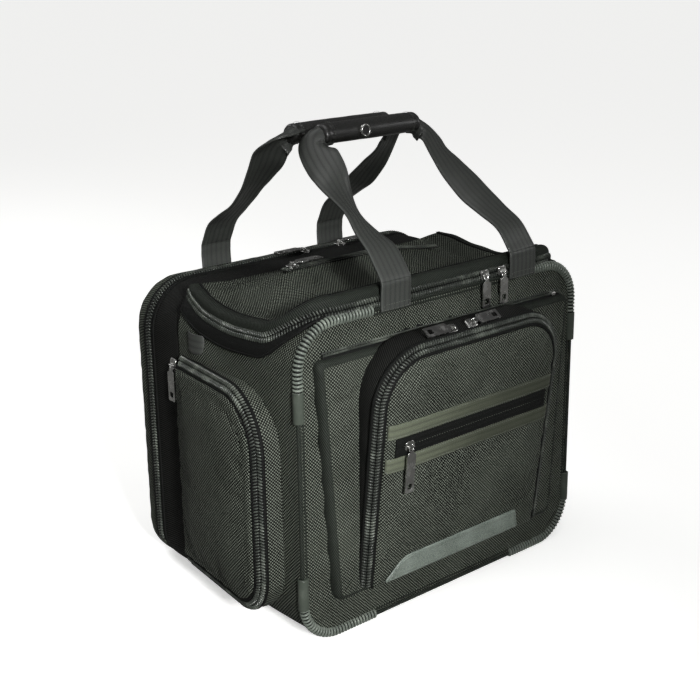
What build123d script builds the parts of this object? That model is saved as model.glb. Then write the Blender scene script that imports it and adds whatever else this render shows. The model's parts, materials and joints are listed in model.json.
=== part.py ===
"""Flight bag: a soft-sided crew case with a zipped lid, a rear clamshell and three zipped pockets.

Millimetres. +X runs along the front, +Y to the rear, +Z up. The origin is on the floor, at the
middle of the base. Fabric walls are closed plates of their true thickness, each in its own node.
"""
from build123d import *
import os
from math import cos, radians, sin

# Driving dimensions of the carcase
HALF_WIDTH = 190.0
FRONT_Y = -133.0
SEAM_Y = 50.0
REAR_Y = 133.0
FRONT_TOP = 318.0
REAR_TOP = 312.0
SIDE_TOP = 292.0
WALL = 4.0
CORNER = 45.0
REAR_CORNER = 50.0
GAP = 0.4

# Lid
LID_HALF_WIDTH = 186.0
LID_LOW = 299.0
LID_TOP = 330.0
LID_CORNER = 30.0
LID_WALL = 3.0
ZIP_WIDTH = 3.7

# Rear clamshell, above its hinge height
REAR_HINGE_Z = 30.0
REAR_ZIP_Y = 98.0
CHAIN = 3.5

# Slip pocket on the front
SLIP_TOP = 283.0
SLIP_BOTTOM = 37.0
SLIP_TOP_HALF = 172.0
SLIP_LOW_HALF = 154.0
SLIP_DEPTH = 8.0
SLIP_FACE = FRONT_Y - SLIP_DEPTH - WALL

# Organizer pocket, which leans out at the top
ORG_TILT = 6.75
ORG_HINGE = (0, SLIP_FACE - 1.0, 42.0)
ORG_HALF = 125.0
ORG_HEIGHT = 245.0
ORG_CORNER = 55.0
DOOR = 8.0
BAND = (0.8, 15.0)
LOW_BAND_V = 126.0
HIGH_BAND_V = 161.0
BADGE = (-106.0, 83.0, 5.0, 28.0)

# Side pockets, which lean out at the front
SIDE_TILT = 7.5
SIDE_HINGE = (-(HALF_WIDTH + 3.0), 47.0, 0)
SIDE_LENGTH = 157.0
SIDE_LOW = 25.0
SIDE_HIGH = 250.0
SIDE_DOOR = 6.0
SIDE_TOP_CORNER = 60.0
SIDE_LOW_CORNER = 45.0

# Handles: 38 mm webbing, folded to half its width at the grips
WEBBING = 38.0
WEBBING_THICK = 3.0
STUB = 28.0
GRIP_Y = 12.0
GRIP_Z = 460.0
GRIP_R = 11.0
CORE_R = 7.0
FRONT_ROOT = (-137.0, 321.0)
REAR_ROOT = (135.5, 315.0)
FRONT_ANCHORS = (-70.0, 105.0)
REAR_ANCHORS = (-80.0, 80.0)
FRONT_GRIP = (-54.0, 73.0)
REAR_GRIP = (-73.0, 54.0)
CORE_END = 12.0
CAP_X = -5.0

# Zip sliders and their pulls
SLIDER_LENGTH = 11.0
SLIDER_WIDTH = 8.0
SLIDER_LOW = 0.3
SLIDER_HIGH = 2.4
BAR_HEIGHT = 5.0
BAR_R = 1.0
EYE_R = 2.1
EYE_BORE = 1.3
EYE_WIDTH = 3.6
POST_Y = 3.0
POST = 1.6
TAB_WIDTH = 9.5
TAB = 1.6
NECK = 6.0


def rounded(x0, x1, z0, z1, low=0.0, high=0.0):
    """A rectangle with one radius for its two low corners and another for its two high ones."""
    face = Pos((x0 + x1) / 2, (z0 + z1) / 2) * Rectangle(x1 - x0, z1 - z0)
    if low:
        face = fillet(face.vertices().group_by(Axis.Y)[0], low)
    if high:
        face = fillet(face.vertices().group_by(Axis.Y)[-1], high)
    return face


def along_y(face, y0, y1):
    """Extrude a face drawn in (x, z) from y0 to y1."""
    return extrude(Plane((0, y1, 0), x_dir=(1, 0, 0), z_dir=(0, -1, 0)) * face, y1 - y0)


def along_x(face, x0, x1):
    """Extrude a face drawn in (y, z) from x0 to x1."""
    return extrude(Plane((x0, 0, 0), x_dir=(0, 1, 0), z_dir=(1, 0, 0)) * face, x1 - x0)


def block(x0, x1, y0, y1, z0, z1):
    """A box given by its six faces."""
    return Pos((x0 + x1) / 2, (y0 + y1) / 2, (z0 + z1) / 2) * Box(x1 - x0, y1 - y0, z1 - z0)


def both_sides(part):
    """A part on the left together with its mirror image on the right."""
    return [part, mirror(part, Plane.YZ)]


def outline(grow=0.0, top=FRONT_TOP):
    """The front view of the carcase, grown outwards by an offset."""
    side = HALF_WIDTH + grow
    radius = CORNER + grow
    return rounded(-side, side, -grow, top + grow, radius, radius)


def rear_outline(grow=0.0):
    """The front view of the rear compartment, whose top corners are rounder."""
    side = HALF_WIDTH + grow
    return rounded(-side, side, -grow, REAR_TOP + grow, CORNER + grow, REAR_CORNER + grow)


def above(face, z):
    """The part of an (x, z) face that is above a height."""
    return face & rounded(-300, 300, z, 600)


def below(face, z):
    """The part of an (x, z) face that is below a height."""
    return face & rounded(-300, 300, -100, z)


# The carcase

def base_panel():
    """The floor of the main compartment, with the two rounded lower edges."""
    return along_y(below(outline() - outline(-WALL), CORNER), FRONT_Y + WALL, SEAM_Y)


def base_board():
    """The stiff board that lies on the floor inside."""
    return block(-142, 142, FRONT_Y + 12, SEAM_Y - 10, WALL + 0.2, WALL + 3)


def front_panel():
    """The padded front wall."""
    return along_y(outline(), FRONT_Y, FRONT_Y + WALL)


def side_panel(x0):
    """A side wall between the base's rounded edge and the mouth of the bag."""
    return block(x0, x0 + WALL, FRONT_Y + WALL, SEAM_Y, CORNER, SIDE_TOP)


def divider_panel():
    """The padded wall between the main and the rear compartment."""
    inside = HALF_WIDTH - WALL - 4
    return along_y(rounded(-inside, inside, WALL, REAR_TOP - 2, 41, 48), SEAM_Y - WALL, SEAM_Y)


def rear_gusset():
    """The fabric ring round the rear compartment and the fixed foot below its door."""
    ring = along_y(rear_outline() - rear_outline(-WALL), SEAM_Y, REAR_ZIP_Y)
    foot = along_y(below(rear_outline() - rear_outline(-WALL), REAR_HINGE_Z), REAR_ZIP_Y, REAR_Y - WALL)
    back = along_y(below(rear_outline(), REAR_HINGE_Z), REAR_Y - WALL, REAR_Y)
    return ring + foot + back


def corner_zones():
    """The four places where the front piping is covered by a guard."""
    edge, low, high = 97.0, 72.0, 227.0
    left = block(-300, -edge, -300, 0, -50, low) + block(-300, -edge, -300, 0, high, 400)
    return left + mirror(left, Plane.YZ)


def front_piping():
    """The thin piped seam round the front panel, between the guards."""
    ring = along_y(outline() - outline(-5), FRONT_Y - 4, FRONT_Y)
    return ring - corner_zones()


def corner_guards():
    """Four ribbed guards that cover the piping at the corners."""
    ring = along_y(outline(0.0) - outline(-7), FRONT_Y - 5.5, FRONT_Y)
    return ring & corner_zones()


def mouth_zip_chain():
    """The half of the lid's zip that is sewn to the mouth of the bag."""
    front = along_y(above(outline(ZIP_WIDTH) - outline(), SIDE_TOP), FRONT_Y - 1.5, FRONT_Y + WALL)
    side = block(-HALF_WIDTH, -HALF_WIDTH + WALL, FRONT_Y + WALL, SEAM_Y, SIDE_TOP, LID_LOW - 0.8)
    return Part() + [front] + both_sides(side)


def rear_zip_chain():
    """The half of the rear zip that is sewn to the gusset."""
    return along_y(above(rear_outline(1) - rear_outline(-3), REAR_HINGE_Z), REAR_ZIP_Y, REAR_ZIP_Y + CHAIN)


def side_loops():
    """A short webbing loop above each side pocket."""
    strap = block(-HALF_WIDTH - 5, -HALF_WIDTH, 4, 29, 256, 280)
    hole = block(-HALF_WIDTH - 3.5, -HALF_WIDTH - 1.5, 0, 40, 260, 276)
    return Part() + both_sides(strap - hole)


# The lid, drawn closed

def lid_region(inset=0.0):
    """The front view of the lid: straight sides and round top corners."""
    side = LID_HALF_WIDTH - inset
    return rounded(-side, side, LID_LOW, LID_TOP - inset, 0, LID_CORNER - inset)


def lid_panel():
    """The lid's roof and sides, a front band over the front panel and a rear band over the divider."""
    roof = along_y(lid_region() - lid_region(LID_WALL), FRONT_Y + WALL + 1.5, SEAM_Y - 0.5)
    front = above(lid_region() - outline(ZIP_WIDTH + GAP), LID_LOW + 2)
    rear = above(lid_region(), REAR_TOP + 1)
    return roof + along_y(front, FRONT_Y + 1, FRONT_Y + 5.5) + along_y(rear, SEAM_Y - 4, SEAM_Y - 0.5)


def lid_zip_chain():
    """The half of the lid's zip that is sewn to the lid."""
    inner = ZIP_WIDTH + GAP
    arc = above(outline(inner + ZIP_WIDTH) - outline(inner), LID_LOW + 2)
    front = along_y(arc & rounded(-LID_HALF_WIDTH, LID_HALF_WIDTH, 0, 400), FRONT_Y - 2, FRONT_Y + 1)
    side = block(-HALF_WIDTH + 1, -LID_HALF_WIDTH, FRONT_Y + 6, SEAM_Y - 6, LID_LOW, LID_LOW + 4)
    return Part() + [front] + both_sides(side)


def lid_pocket_zip():
    """The closed zip across the lid, for the document pocket under its roof."""
    return block(-100, 110, -12, 0, LID_TOP, LID_TOP + 1.2)


# The rear clamshell door

def rear_panel():
    """The dished rear door: a rim and a padded back."""
    rim = along_y(above(rear_outline() - rear_outline(-WALL), REAR_HINGE_Z + GAP),
                  REAR_ZIP_Y + 2 * CHAIN + GAP, REAR_Y - WALL)
    back = along_y(above(rear_outline(), REAR_HINGE_Z + GAP), REAR_Y - WALL, REAR_Y)
    return rim + back


def rear_panel_zip_chain():
    """The half of the rear zip that is sewn to the door."""
    ring = above(rear_outline(1) - rear_outline(-3), REAR_HINGE_Z + GAP)
    start = REAR_ZIP_Y + CHAIN + GAP
    return along_y(ring, start, start + CHAIN)


# The slip pocket behind the organizer

def slip_outline(inset=0.0):
    """The front view of the slip pocket, wider at the top."""
    low, high = SLIP_LOW_HALF - inset, SLIP_TOP_HALF - inset
    bottom = SLIP_BOTTOM + inset
    corners = [(-low, bottom), (low, bottom), (high, SLIP_TOP), (-high, SLIP_TOP)]
    return make_face(Polyline(*corners, close=True))


def mid_pocket_panel():
    """The padded face of the slip pocket."""
    return along_y(slip_outline(), SLIP_FACE, SLIP_FACE + WALL)


def mid_pocket_bellows():
    """The folded edge that joins the slip pocket to the front panel on three sides."""
    frame = slip_outline() - slip_outline(8) - rounded(-150, 150, SLIP_TOP - 10, SLIP_TOP + 10)
    return along_y(frame, SLIP_FACE + WALL, FRONT_Y)


def mid_pocket_zip():
    """The zip tape at the slip pocket's mouth."""
    return block(-162, 162, FRONT_Y - 1.5, FRONT_Y, SLIP_TOP - 2, SLIP_TOP + 7)


def mid_pocket_slider():
    """The slip pocket's slider, parked at the right-hand end, with a ridge to pull it by."""
    body = block(146, 157, FRONT_Y - 4, FRONT_Y - 1.8, SLIP_TOP - 1, SLIP_TOP + 6)
    return body + block(149, 154, FRONT_Y - 6, FRONT_Y - 4, SLIP_TOP + 1, SLIP_TOP + 4)


# The organizer pocket. Its door is drawn upright and then leans out about the hinge line.

LEAN = Location(ORG_HINGE, (ORG_TILT, 0, 0))


def door_outline(inset=0.0):
    """The door's outline in its own plane, from the hinge line up."""
    side = ORG_HALF - inset
    return rounded(-side, side, 0.5, ORG_HEIGHT - inset, 0, ORG_CORNER - inset)


def organizer_gusset():
    """The fabric wall between the slip pocket and the zip, deep at the top and narrow at the foot."""
    wall = LEAN * along_y(door_outline() - door_outline(3), 3.4, 60)
    return wall & block(-300, 300, -300, SLIP_FACE, 0, 400)


def organizer_zip_chain():
    """The half of the organizer zip that is sewn to its gusset."""
    return LEAN * along_y(door_outline(-1) - door_outline(3), 0, 3.4) & block(-300, 300, -300, SLIP_FACE, 0, 400)


def organizer_panel():
    """The padded door of the organizer."""
    face = door_outline() + rounded(-ORG_HALF, ORG_HALF, 0.5, 6)
    return LEAN * along_y(face, -DOOR, -GAP - 2.5)


def organizer_panel_zip_chain():
    """The half of the organizer zip that is sewn to the door."""
    return LEAN * along_y(door_outline(-1) - door_outline(4), -GAP - 2.5, -GAP)


def on_door(x0, x1, v0, v1, thick, low=0.0, high=0.0):
    """A flat piece laid on the outer face of the organizer door."""
    return LEAN * along_y(rounded(x0, x1, v0, v1, low, high), -DOOR - thick, -DOOR)


def trim_bands():
    """Two satin bands across the door, above and below its zip."""
    thick, wide = BAND
    side = ORG_HALF - 4
    return Part() + [on_door(-side, side, v, v + wide, thick) for v in (LOW_BAND_V, HIGH_BAND_V)]


def band_zip():
    """The coil zip of the door's own pocket, between the bands."""
    return on_door(-104, 104, LOW_BAND_V + 17, HIGH_BAND_V - 2, 1.0)


def badge_patch():
    """The stitched leather patch, with round left-hand corners."""
    x0, x1, v0, v1 = BADGE
    plain = rounded(x0, x1, v0, v1)
    face = fillet(plain.vertices().group_by(Axis.X)[0], 9)
    return LEAN * along_y(face, -DOOR - 1.2, -DOOR)


# The side pockets. The left one is drawn; the right one mirrors it.

SPREAD = Location(SIDE_HINGE, (0, 0, -SIDE_TILT))


def side_outline(inset=0.0):
    """A side pocket's outline in (y, z), from its front edge back to the hinge line at y = 0."""
    front = -SIDE_LENGTH + inset
    face = rounded(front, -0.5, SIDE_LOW + inset, SIDE_HIGH - inset)
    corners = face.vertices().group_by(Axis.X)[0].sort_by(Axis.Y)
    face = fillet([corners[0]], SIDE_LOW_CORNER - inset)
    corners = face.vertices().sort_by(Axis.Y)
    upper = corners.filter_by(lambda v: abs(v.X - front) < 1e-3 and v.Y > SIDE_HIGH - inset - 1)
    return fillet(upper, SIDE_TOP_CORNER - inset)


def left_pocket_gusset():
    """The pocket's wall and the fixed half of its zip, deep at the front and narrow at the rear."""
    ring = side_outline() - side_outline(3)
    wall = SPREAD * along_x(ring, 0, 50)
    return wall & block(-400, -HALF_WIDTH, -300, 300, 0, 400)


def left_pocket_panel():
    """The pocket's padded door with the other half of its zip."""
    rim = along_x(side_outline(-1) - side_outline(4), -GAP - 2.5, -GAP)
    face = along_x(side_outline(), -SIDE_DOOR, -GAP - 2.5)
    return SPREAD * (rim + face)


# Handles

def stub(x, root, thick=WEBBING_THICK):
    """The short upright length of webbing above a handle's seam."""
    y, z = root
    half = WEBBING / 2
    return block(x - half, x + half, y - thick / 2, y + thick / 2, z, z + STUB)


def leg(x_low, x_high, root, grip_y):
    """One webbing leg, from just above its knee up to the grip, narrowing as it folds."""
    knee = Vector(x_low, root[0], root[1] + STUB - 4)
    top = Vector(x_high, grip_y, GRIP_Z)
    way = (top - knee).normalized()
    across = Vector(1, 0, 0) - way * way.X
    low = Plane(knee, x_dir=across, z_dir=way) * Rectangle(WEBBING, WEBBING_THICK)
    high = Plane(top, x_dir=across, z_dir=way) * Rectangle(WEBBING / 2, 2 * WEBBING_THICK)
    return loft([low, high]) & block(-300, 300, -300, 300, root[1] + STUB + 0.6, 600)


def rod(x0, x1, y, radius):
    """A round bar along X at the height of the grips."""
    return Pos((x0 + x1) / 2, y, GRIP_Z) * Rot(0, 90, 0) * Cylinder(radius, x1 - x0)


def handle_webbing(anchors, grip, root, grip_y):
    """Two legs and the rolled webbing that runs through the grip."""
    ends = (grip[0] - CORE_END, grip[1] + CORE_END)
    core = rod(ends[0] - 6, ends[1] + 6, grip_y, CORE_R)
    legs = [leg(a, e, root, grip_y) for a, e in zip(anchors, ends)]
    tube = rod(grip[0], grip[1], grip_y, 2 * GRIP_R)
    return Part() + ([core] + [part - tube for part in legs])


def grip_tube(grip, grip_y):
    """A leather grip wrapped round the webbing."""
    return rod(grip[0], grip[1], grip_y, GRIP_R) - rod(grip[0] - 1, grip[1] + 1, grip_y, CORE_R)


def snap(y0, y1, radius):
    """A round fastener part on the front grip, on a front-to-back axis."""
    return Pos(CAP_X, (y0 + y1) / 2, GRIP_Z) * Rot(90, 0, 0) * Cylinder(radius, y1 - y0)


# Zip sliders: drawn with the pull lying along +X, the hinge bar along Y and the zip below

def slider(along_pull=True):
    """A slider body with two posts and the bar that the pull turns on."""
    size = (SLIDER_LENGTH, SLIDER_WIDTH) if along_pull else (SLIDER_WIDTH, SLIDER_LENGTH)
    body = Pos(0, 0, (SLIDER_LOW + SLIDER_HIGH) / 2) * Box(*size, SLIDER_HIGH - SLIDER_LOW)
    tall = BAR_HEIGHT + BAR_R + 0.3 - SLIDER_HIGH
    posts = [Pos(0, y, SLIDER_HIGH + tall / 2) * Box(2.8, POST, tall) for y in (-POST_Y, POST_Y)]
    bar = Pos(0, 0, BAR_HEIGHT) * Rot(90, 0, 0) * Cylinder(BAR_R, 2 * POST_Y)
    return Part() + ([body] + posts + [bar])


def pull(length):
    """A flat pull: an eye on the slider's bar, a neck, and a wide tab with a slot at its end."""
    eye = Rot(90, 0, 0) * (Cylinder(EYE_R, EYE_WIDTH) - Cylinder(EYE_BORE, EYE_WIDTH + 1))
    neck = Pos((EYE_R + NECK) / 2 - 0.2, 0, 0) * Box(NECK - EYE_R + 0.6, EYE_WIDTH, TAB)
    face = Pos((NECK + length) / 2, 0) * RectangleRounded(length - NECK, TAB_WIDTH, 2)
    slot = Pos(length - 8, 0) * RectangleRounded(9, 4.5, 1.5)
    tab = Pos(0, 0, -TAB / 2) * extrude(face - slot, TAB)
    return Pos(0, 0, BAR_HEIGHT) * (Part() + [eye, neck, tab])


def facing(origin, pull_way, outward):
    """The place of a slider: its origin on the zip, the way its pull lies and the way it faces."""
    return Plane(origin, x_dir=pull_way, z_dir=outward).location


def on_organizer(x, v, depth):
    """A point in the organizer's leaning frame, in the bag's frame."""
    lean = radians(ORG_TILT)
    y = ORG_HINGE[1] + depth * cos(lean) - v * sin(lean)
    z = ORG_HINGE[2] + depth * sin(lean) + v * cos(lean)
    return (x, y, z)


LEAN_DOWN = (0, sin(radians(ORG_TILT)), -cos(radians(ORG_TILT)))
LEAN_OUT = (0, -cos(radians(ORG_TILT)), -sin(radians(ORG_TILT)))
LID_ZIP_FACE = FRONT_Y - 2.0
GUSSET_TOP = on_organizer(0, ORG_HEIGHT + 1, 8)
DOOR_ZIP = on_organizer(0, LOW_BAND_V + 25, -DOOR - 1.0)

# name: (point on the zip, way the pull lies, way it faces, is the zip along the pull, pull length)
SLIDERS = {
    "lid_left": ((50, LID_ZIP_FACE, 323), (0, 0, -1), (0, -1, 0), False, 33),
    "lid_right": ((75, LID_ZIP_FACE, 323), (0, 0, -1), (0, -1, 0), False, 33),
    "rear_left": ((10, REAR_ZIP_Y - 1, REAR_TOP + 1), (-1, 0, 0), (0, 0, 1), True, 38),
    "rear_right": ((62, REAR_ZIP_Y - 1, REAR_TOP + 1), (1, 0, 0), (0, 0, 1), True, 38),
    "organizer_left": ((-25, GUSSET_TOP[1], GUSSET_TOP[2]), (-1, 0, 0), (0, 0, 1), True, 36),
    "organizer_right": ((2, GUSSET_TOP[1], GUSSET_TOP[2]), (1, 0, 0), (0, 0, 1), True, 36),
    "band": ((-88, DOOR_ZIP[1], DOOR_ZIP[2]), LEAN_DOWN, LEAN_OUT, False, 48),
    "lid_pocket": ((-88, -6, LID_TOP + 1.2), (1, 0, 0), (0, 0, 1), True, 36),
    "left_pocket": ((-HALF_WIDTH, 59, 238), (0, 0, -1), (-1, 0, 0), True, 38),
    "right_pocket": ((HALF_WIDTH + 13, -111.2, 150), (0, 0, -1), (0, -1, 0), True, 38),
}


def build():
    """Every node of the bag, by name."""
    parts = {
        "base_panel": base_panel(),
        "base_board": base_board(),
        "front_panel": front_panel(),
        "left_side_panel": side_panel(-HALF_WIDTH),
        "right_side_panel": side_panel(HALF_WIDTH - WALL),
        "divider_panel": divider_panel(),
        "rear_gusset": rear_gusset(),
        "front_piping": front_piping(),
        "corner_guards": corner_guards(),
        "mouth_zip_chain": mouth_zip_chain(),
        "rear_zip_chain": rear_zip_chain(),
        "side_loops": side_loops(),
        "lid_panel": lid_panel(),
        "lid_zip_chain": lid_zip_chain(),
        "lid_pocket_zip": lid_pocket_zip(),
        "rear_panel": rear_panel(),
        "rear_panel_zip_chain": rear_panel_zip_chain(),
        "mid_pocket_panel": mid_pocket_panel(),
        "mid_pocket_bellows": mid_pocket_bellows(),
        "mid_pocket_zip": mid_pocket_zip(),
        "mid_pocket_slider": mid_pocket_slider(),
        "organizer_gusset": organizer_gusset(),
        "organizer_zip_chain": organizer_zip_chain(),
        "organizer_panel": organizer_panel(),
        "organizer_panel_zip_chain": organizer_panel_zip_chain(),
        "trim_bands": trim_bands(),
        "band_zip": band_zip(),
        "badge_patch": badge_patch(),
        "left_pocket_gusset": left_pocket_gusset(),
        "left_pocket_panel": left_pocket_panel(),
        "right_pocket_gusset": mirror(left_pocket_gusset(), Plane.YZ),
        "right_pocket_panel": mirror(left_pocket_panel(), Plane.YZ),
        "front_handle_roots": Part() + [stub(x, FRONT_ROOT) for x in FRONT_ANCHORS],
        "rear_handle_roots": Part() + [stub(x, REAR_ROOT) for x in REAR_ANCHORS],
        "front_handle_webbing": handle_webbing(FRONT_ANCHORS, FRONT_GRIP, FRONT_ROOT, -GRIP_Y),
        "rear_handle_webbing": handle_webbing(REAR_ANCHORS, REAR_GRIP, REAR_ROOT, GRIP_Y),
        "snap_cap": snap(-GRIP_Y - GRIP_R - 2, -GRIP_Y - GRIP_R, 6),
        "snap_stud": snap(-GRIP_Y - GRIP_R, -GRIP_Y - CORE_R - 0.5, 3),
        "rear_grip": grip_tube(REAR_GRIP, GRIP_Y),
    }
    parts["front_grip"] = grip_tube(FRONT_GRIP, -GRIP_Y) - parts["snap_stud"]
    for name, (origin, way, outward, along_pull, length) in SLIDERS.items():
        place = facing(origin, way, outward)
        parts[name + "_slider"] = place * slider(along_pull)
        parts[name + "_pull"] = place * pull(length)
    return parts


if __name__ == "__main__":
    os.makedirs("parts", exist_ok=True)
    for node, shape in build().items():
        export_step(shape, f"parts/{node}.step")
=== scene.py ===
"""Looks of a soft-sided flight bag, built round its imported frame.

Everything is in metres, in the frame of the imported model: +X along the front, +Y to the rear,
+Z up. Places come from the boxes of the frame's nodes. Cloth is made as grids worked out with
numpy, each with a UV map named "cloth" that measures metres along and across its weave.
"""

import json
import logging
from dataclasses import dataclass, field
from enum import Enum
from typing import Callable, Sequence

import bmesh
import bpy
import numpy as np
from mathutils import Matrix, Vector


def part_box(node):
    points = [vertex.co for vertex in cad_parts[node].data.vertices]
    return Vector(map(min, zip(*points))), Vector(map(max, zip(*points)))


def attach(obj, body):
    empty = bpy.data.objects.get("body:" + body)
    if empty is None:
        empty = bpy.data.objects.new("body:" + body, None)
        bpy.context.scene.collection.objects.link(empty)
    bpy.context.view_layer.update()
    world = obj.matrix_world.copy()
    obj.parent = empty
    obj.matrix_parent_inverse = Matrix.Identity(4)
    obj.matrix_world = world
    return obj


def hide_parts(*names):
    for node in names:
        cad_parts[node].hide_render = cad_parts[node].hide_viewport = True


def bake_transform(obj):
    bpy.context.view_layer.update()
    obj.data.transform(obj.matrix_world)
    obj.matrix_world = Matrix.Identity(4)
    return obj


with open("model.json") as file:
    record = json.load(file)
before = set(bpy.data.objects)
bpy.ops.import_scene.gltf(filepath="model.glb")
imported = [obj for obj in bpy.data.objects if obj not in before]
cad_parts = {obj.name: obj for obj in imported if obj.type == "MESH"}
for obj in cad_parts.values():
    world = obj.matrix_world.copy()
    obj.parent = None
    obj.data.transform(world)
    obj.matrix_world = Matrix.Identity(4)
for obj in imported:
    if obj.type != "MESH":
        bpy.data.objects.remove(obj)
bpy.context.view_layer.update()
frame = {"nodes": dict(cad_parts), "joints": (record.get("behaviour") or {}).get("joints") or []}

log = logging.getLogger("flight_bag")
Array = np.ndarray
MM = 0.001
ZIP_TAPE = 6.5 * MM
STRIPE = 12.5 * MM
UV_NAME = "cloth"
ORGANIZER_LEAN = np.radians(6.75)
POCKET_LEAN = np.radians(7.5)
X_AXIS = np.array([1.0, 0.0, 0.0])
Y_AXIS = np.array([0.0, 1.0, 0.0])
Z_AXIS = np.array([0.0, 0.0, 1.0])


# ---- Numbers: curves and small vector helpers ----

def low(node: str) -> Array:
    """The lowest corner of a frame node."""
    return np.array(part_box(node)[0])


def high(node: str) -> Array:
    """The highest corner of a frame node."""
    return np.array(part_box(node)[1])


def unit(vectors: Array) -> Array:
    """Vectors divided by their lengths."""
    return vectors / np.maximum(np.linalg.norm(vectors, axis=-1, keepdims=True), 1e-12)


def smooth(t: Array) -> Array:
    """The cubic step 3t^2 - 2t^3, held at 0 and 1 outside its span."""
    t = np.clip(t, 0, 1)
    return t * t * (3 - 2 * t)


def bump(x: Array, centre: float, width: float) -> Array:
    """A bell curve, exp(-(x - centre)^2 / width^2)."""
    return np.exp(-((x - centre) / width) ** 2)


def ripple(s: Array, seed: int, wave: float) -> Array:
    """Uneven ripples along a seam: five sines of seeded phase and nearby wavelengths.

    Args:
        s: Distance along the seam.
        seed: Seed of the phases.
        wave: Typical wavelength, in metres.

    Returns:
        Values of about -1 to 1.
    """
    draw = np.random.default_rng(seed)
    phases = draw.uniform(0, 2 * np.pi, 5)
    waves = wave * np.array([0.62, 0.81, 1.0, 1.37, 2.1])
    return sum(np.sin(2 * np.pi * s / w + p) for w, p in zip(waves, phases)) / 3


def drift(points: Array, seed: int, wave: float) -> Array:
    """Slow unevenness over a surface: four plane waves of seeded direction and phase."""
    draw = np.random.default_rng(seed)
    ways = unit(draw.normal(size=(4, 3)))
    phases = draw.uniform(0, 2 * np.pi, 4)
    return sum(np.sin(points @ w * 2 * np.pi / wave + p) for w, p in zip(ways, phases)) / 3


def arc_at(before: Array, corner: Array, after: Array, radius: float, step: float) -> Array:
    """The arc that rounds a corner: a turn of the tangent points about the arc's centre."""
    if radius <= 0:
        return corner[None]
    a, b = unit(before - corner), unit(after - corner)
    half = np.arccos(np.clip(a @ b, -1, 1)) / 2
    centre = corner + unit(a + b) * radius / np.sin(half)
    start = corner + a * radius / np.tan(half) - centre
    end = corner + b * radius / np.tan(half) - centre
    sweep = np.pi - 2 * half
    t = np.linspace(0, sweep, max(5, int(radius * sweep / step)))[:, None]
    return centre + (np.sin(sweep - t) * start + np.sin(t) * end) / np.sin(sweep)


def rounded(corners: Sequence, radii: Sequence[float], closed: bool = False) -> Array:
    """A polyline through corner points, with an arc of its own radius at each."""
    points = [np.asarray(c, float) for c in corners]
    last = len(points) - 1
    parts = []
    for i, (point, radius) in enumerate(zip(points, radii)):
        plain = not closed and i in (0, last)
        parts.append(arc_at(points[i - 1], point, points[(i + 1) % len(points)],
                            0 if plain else radius, 1 * MM))
    if closed:
        parts.append(parts[0][:1])
    return np.concatenate(parts)


def travel(points: Array) -> Array:
    """Distance along a polyline at each of its points."""
    return np.concatenate([[0], np.cumsum(np.linalg.norm(np.diff(points, axis=0), axis=1))])


def resample(points: Array, places: Array) -> Array:
    """A polyline read at places from 0 to 1 of its length."""
    along = travel(points)
    return np.stack([np.interp(places * along[-1], along, c) for c in points.T], axis=1)


def even(points: Array, step: float) -> Array:
    """A polyline with evenly spaced points about a step apart."""
    return resample(points, np.linspace(0, 1, max(3, int(round(travel(points)[-1] / step)) + 1)))


def spline(points: Sequence, count: int = 200) -> Array:
    """A Catmull-Rom curve through points: each span is the cubic of its four neighbours."""
    p = np.asarray(points, float)
    p = np.concatenate([2 * p[:1] - p[1:2], p, 2 * p[-1:] - p[-2:-1]])
    t = np.linspace(0, len(p) - 3 - 1e-9, count)
    i = t.astype(int)
    f = (t - i)[:, None]
    a, b, c, d = p[i], p[i + 1], p[i + 2], p[i + 3]
    return 0.5 * (2 * b + (c - a) * f + (2 * a - 5 * b + 4 * c - d) * f**2
                  + (3 * b - a - 3 * c + d) * f**3)


def graded(count: int, pull: float = 0.6) -> Array:
    """Places from 0 to 1 that crowd towards both ends: a mix of even and cosine spacing."""
    t = np.linspace(0, 1, count)
    return (1 - pull) * t + pull * (1 - np.cos(np.pi * t)) / 2


@dataclass
class Path:
    """A line along a surface, with the way that the surface faces at each point."""

    points: Array
    out: Array
    closed: bool = False

    def __post_init__(self) -> None:
        """Spread one outward vector over every point, and square it to the line."""
        self.points = np.asarray(self.points, float)
        if np.ndim(self.out) == 1:
            self.out = np.tile(self.out, (len(self.points), 1))
        tangent = self.tangent()
        self.out = unit(self.out - (self.out * tangent).sum(1, keepdims=True) * tangent)

    def tangent(self) -> Array:
        """The way the line runs: the central difference of its points."""
        if self.closed:
            ring = self.points[:-1]
            ring = unit(np.roll(ring, -1, 0) - np.roll(ring, 1, 0))
            return np.concatenate([ring, ring[:1]])
        return unit(np.gradient(self.points, axis=0))

    def side(self) -> Array:
        """The way across the line, along the surface."""
        return np.cross(self.tangent(), self.out)

    def length(self) -> float:
        """The line's length."""
        return float(travel(self.points)[-1])

    def even(self, step: float) -> "Path":
        """The same line with evenly spaced points."""
        both = np.concatenate([self.points, self.out], axis=1)
        along = travel(self.points)
        count = max(3, int(round(along[-1] / step)) + 1)
        at = np.linspace(0, along[-1], count)
        both = np.stack([np.interp(at, along, c) for c in both.T], axis=1)
        return Path(both[:, :3], both[:, 3:], self.closed)

    def shifted(self, side: float = 0.0, out: float = 0.0) -> "Path":
        """The line moved across the surface and off it."""
        return Path(self.points + side * self.side() + out * self.out, self.out, self.closed)



# ---- Grids and pieces ----

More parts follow.
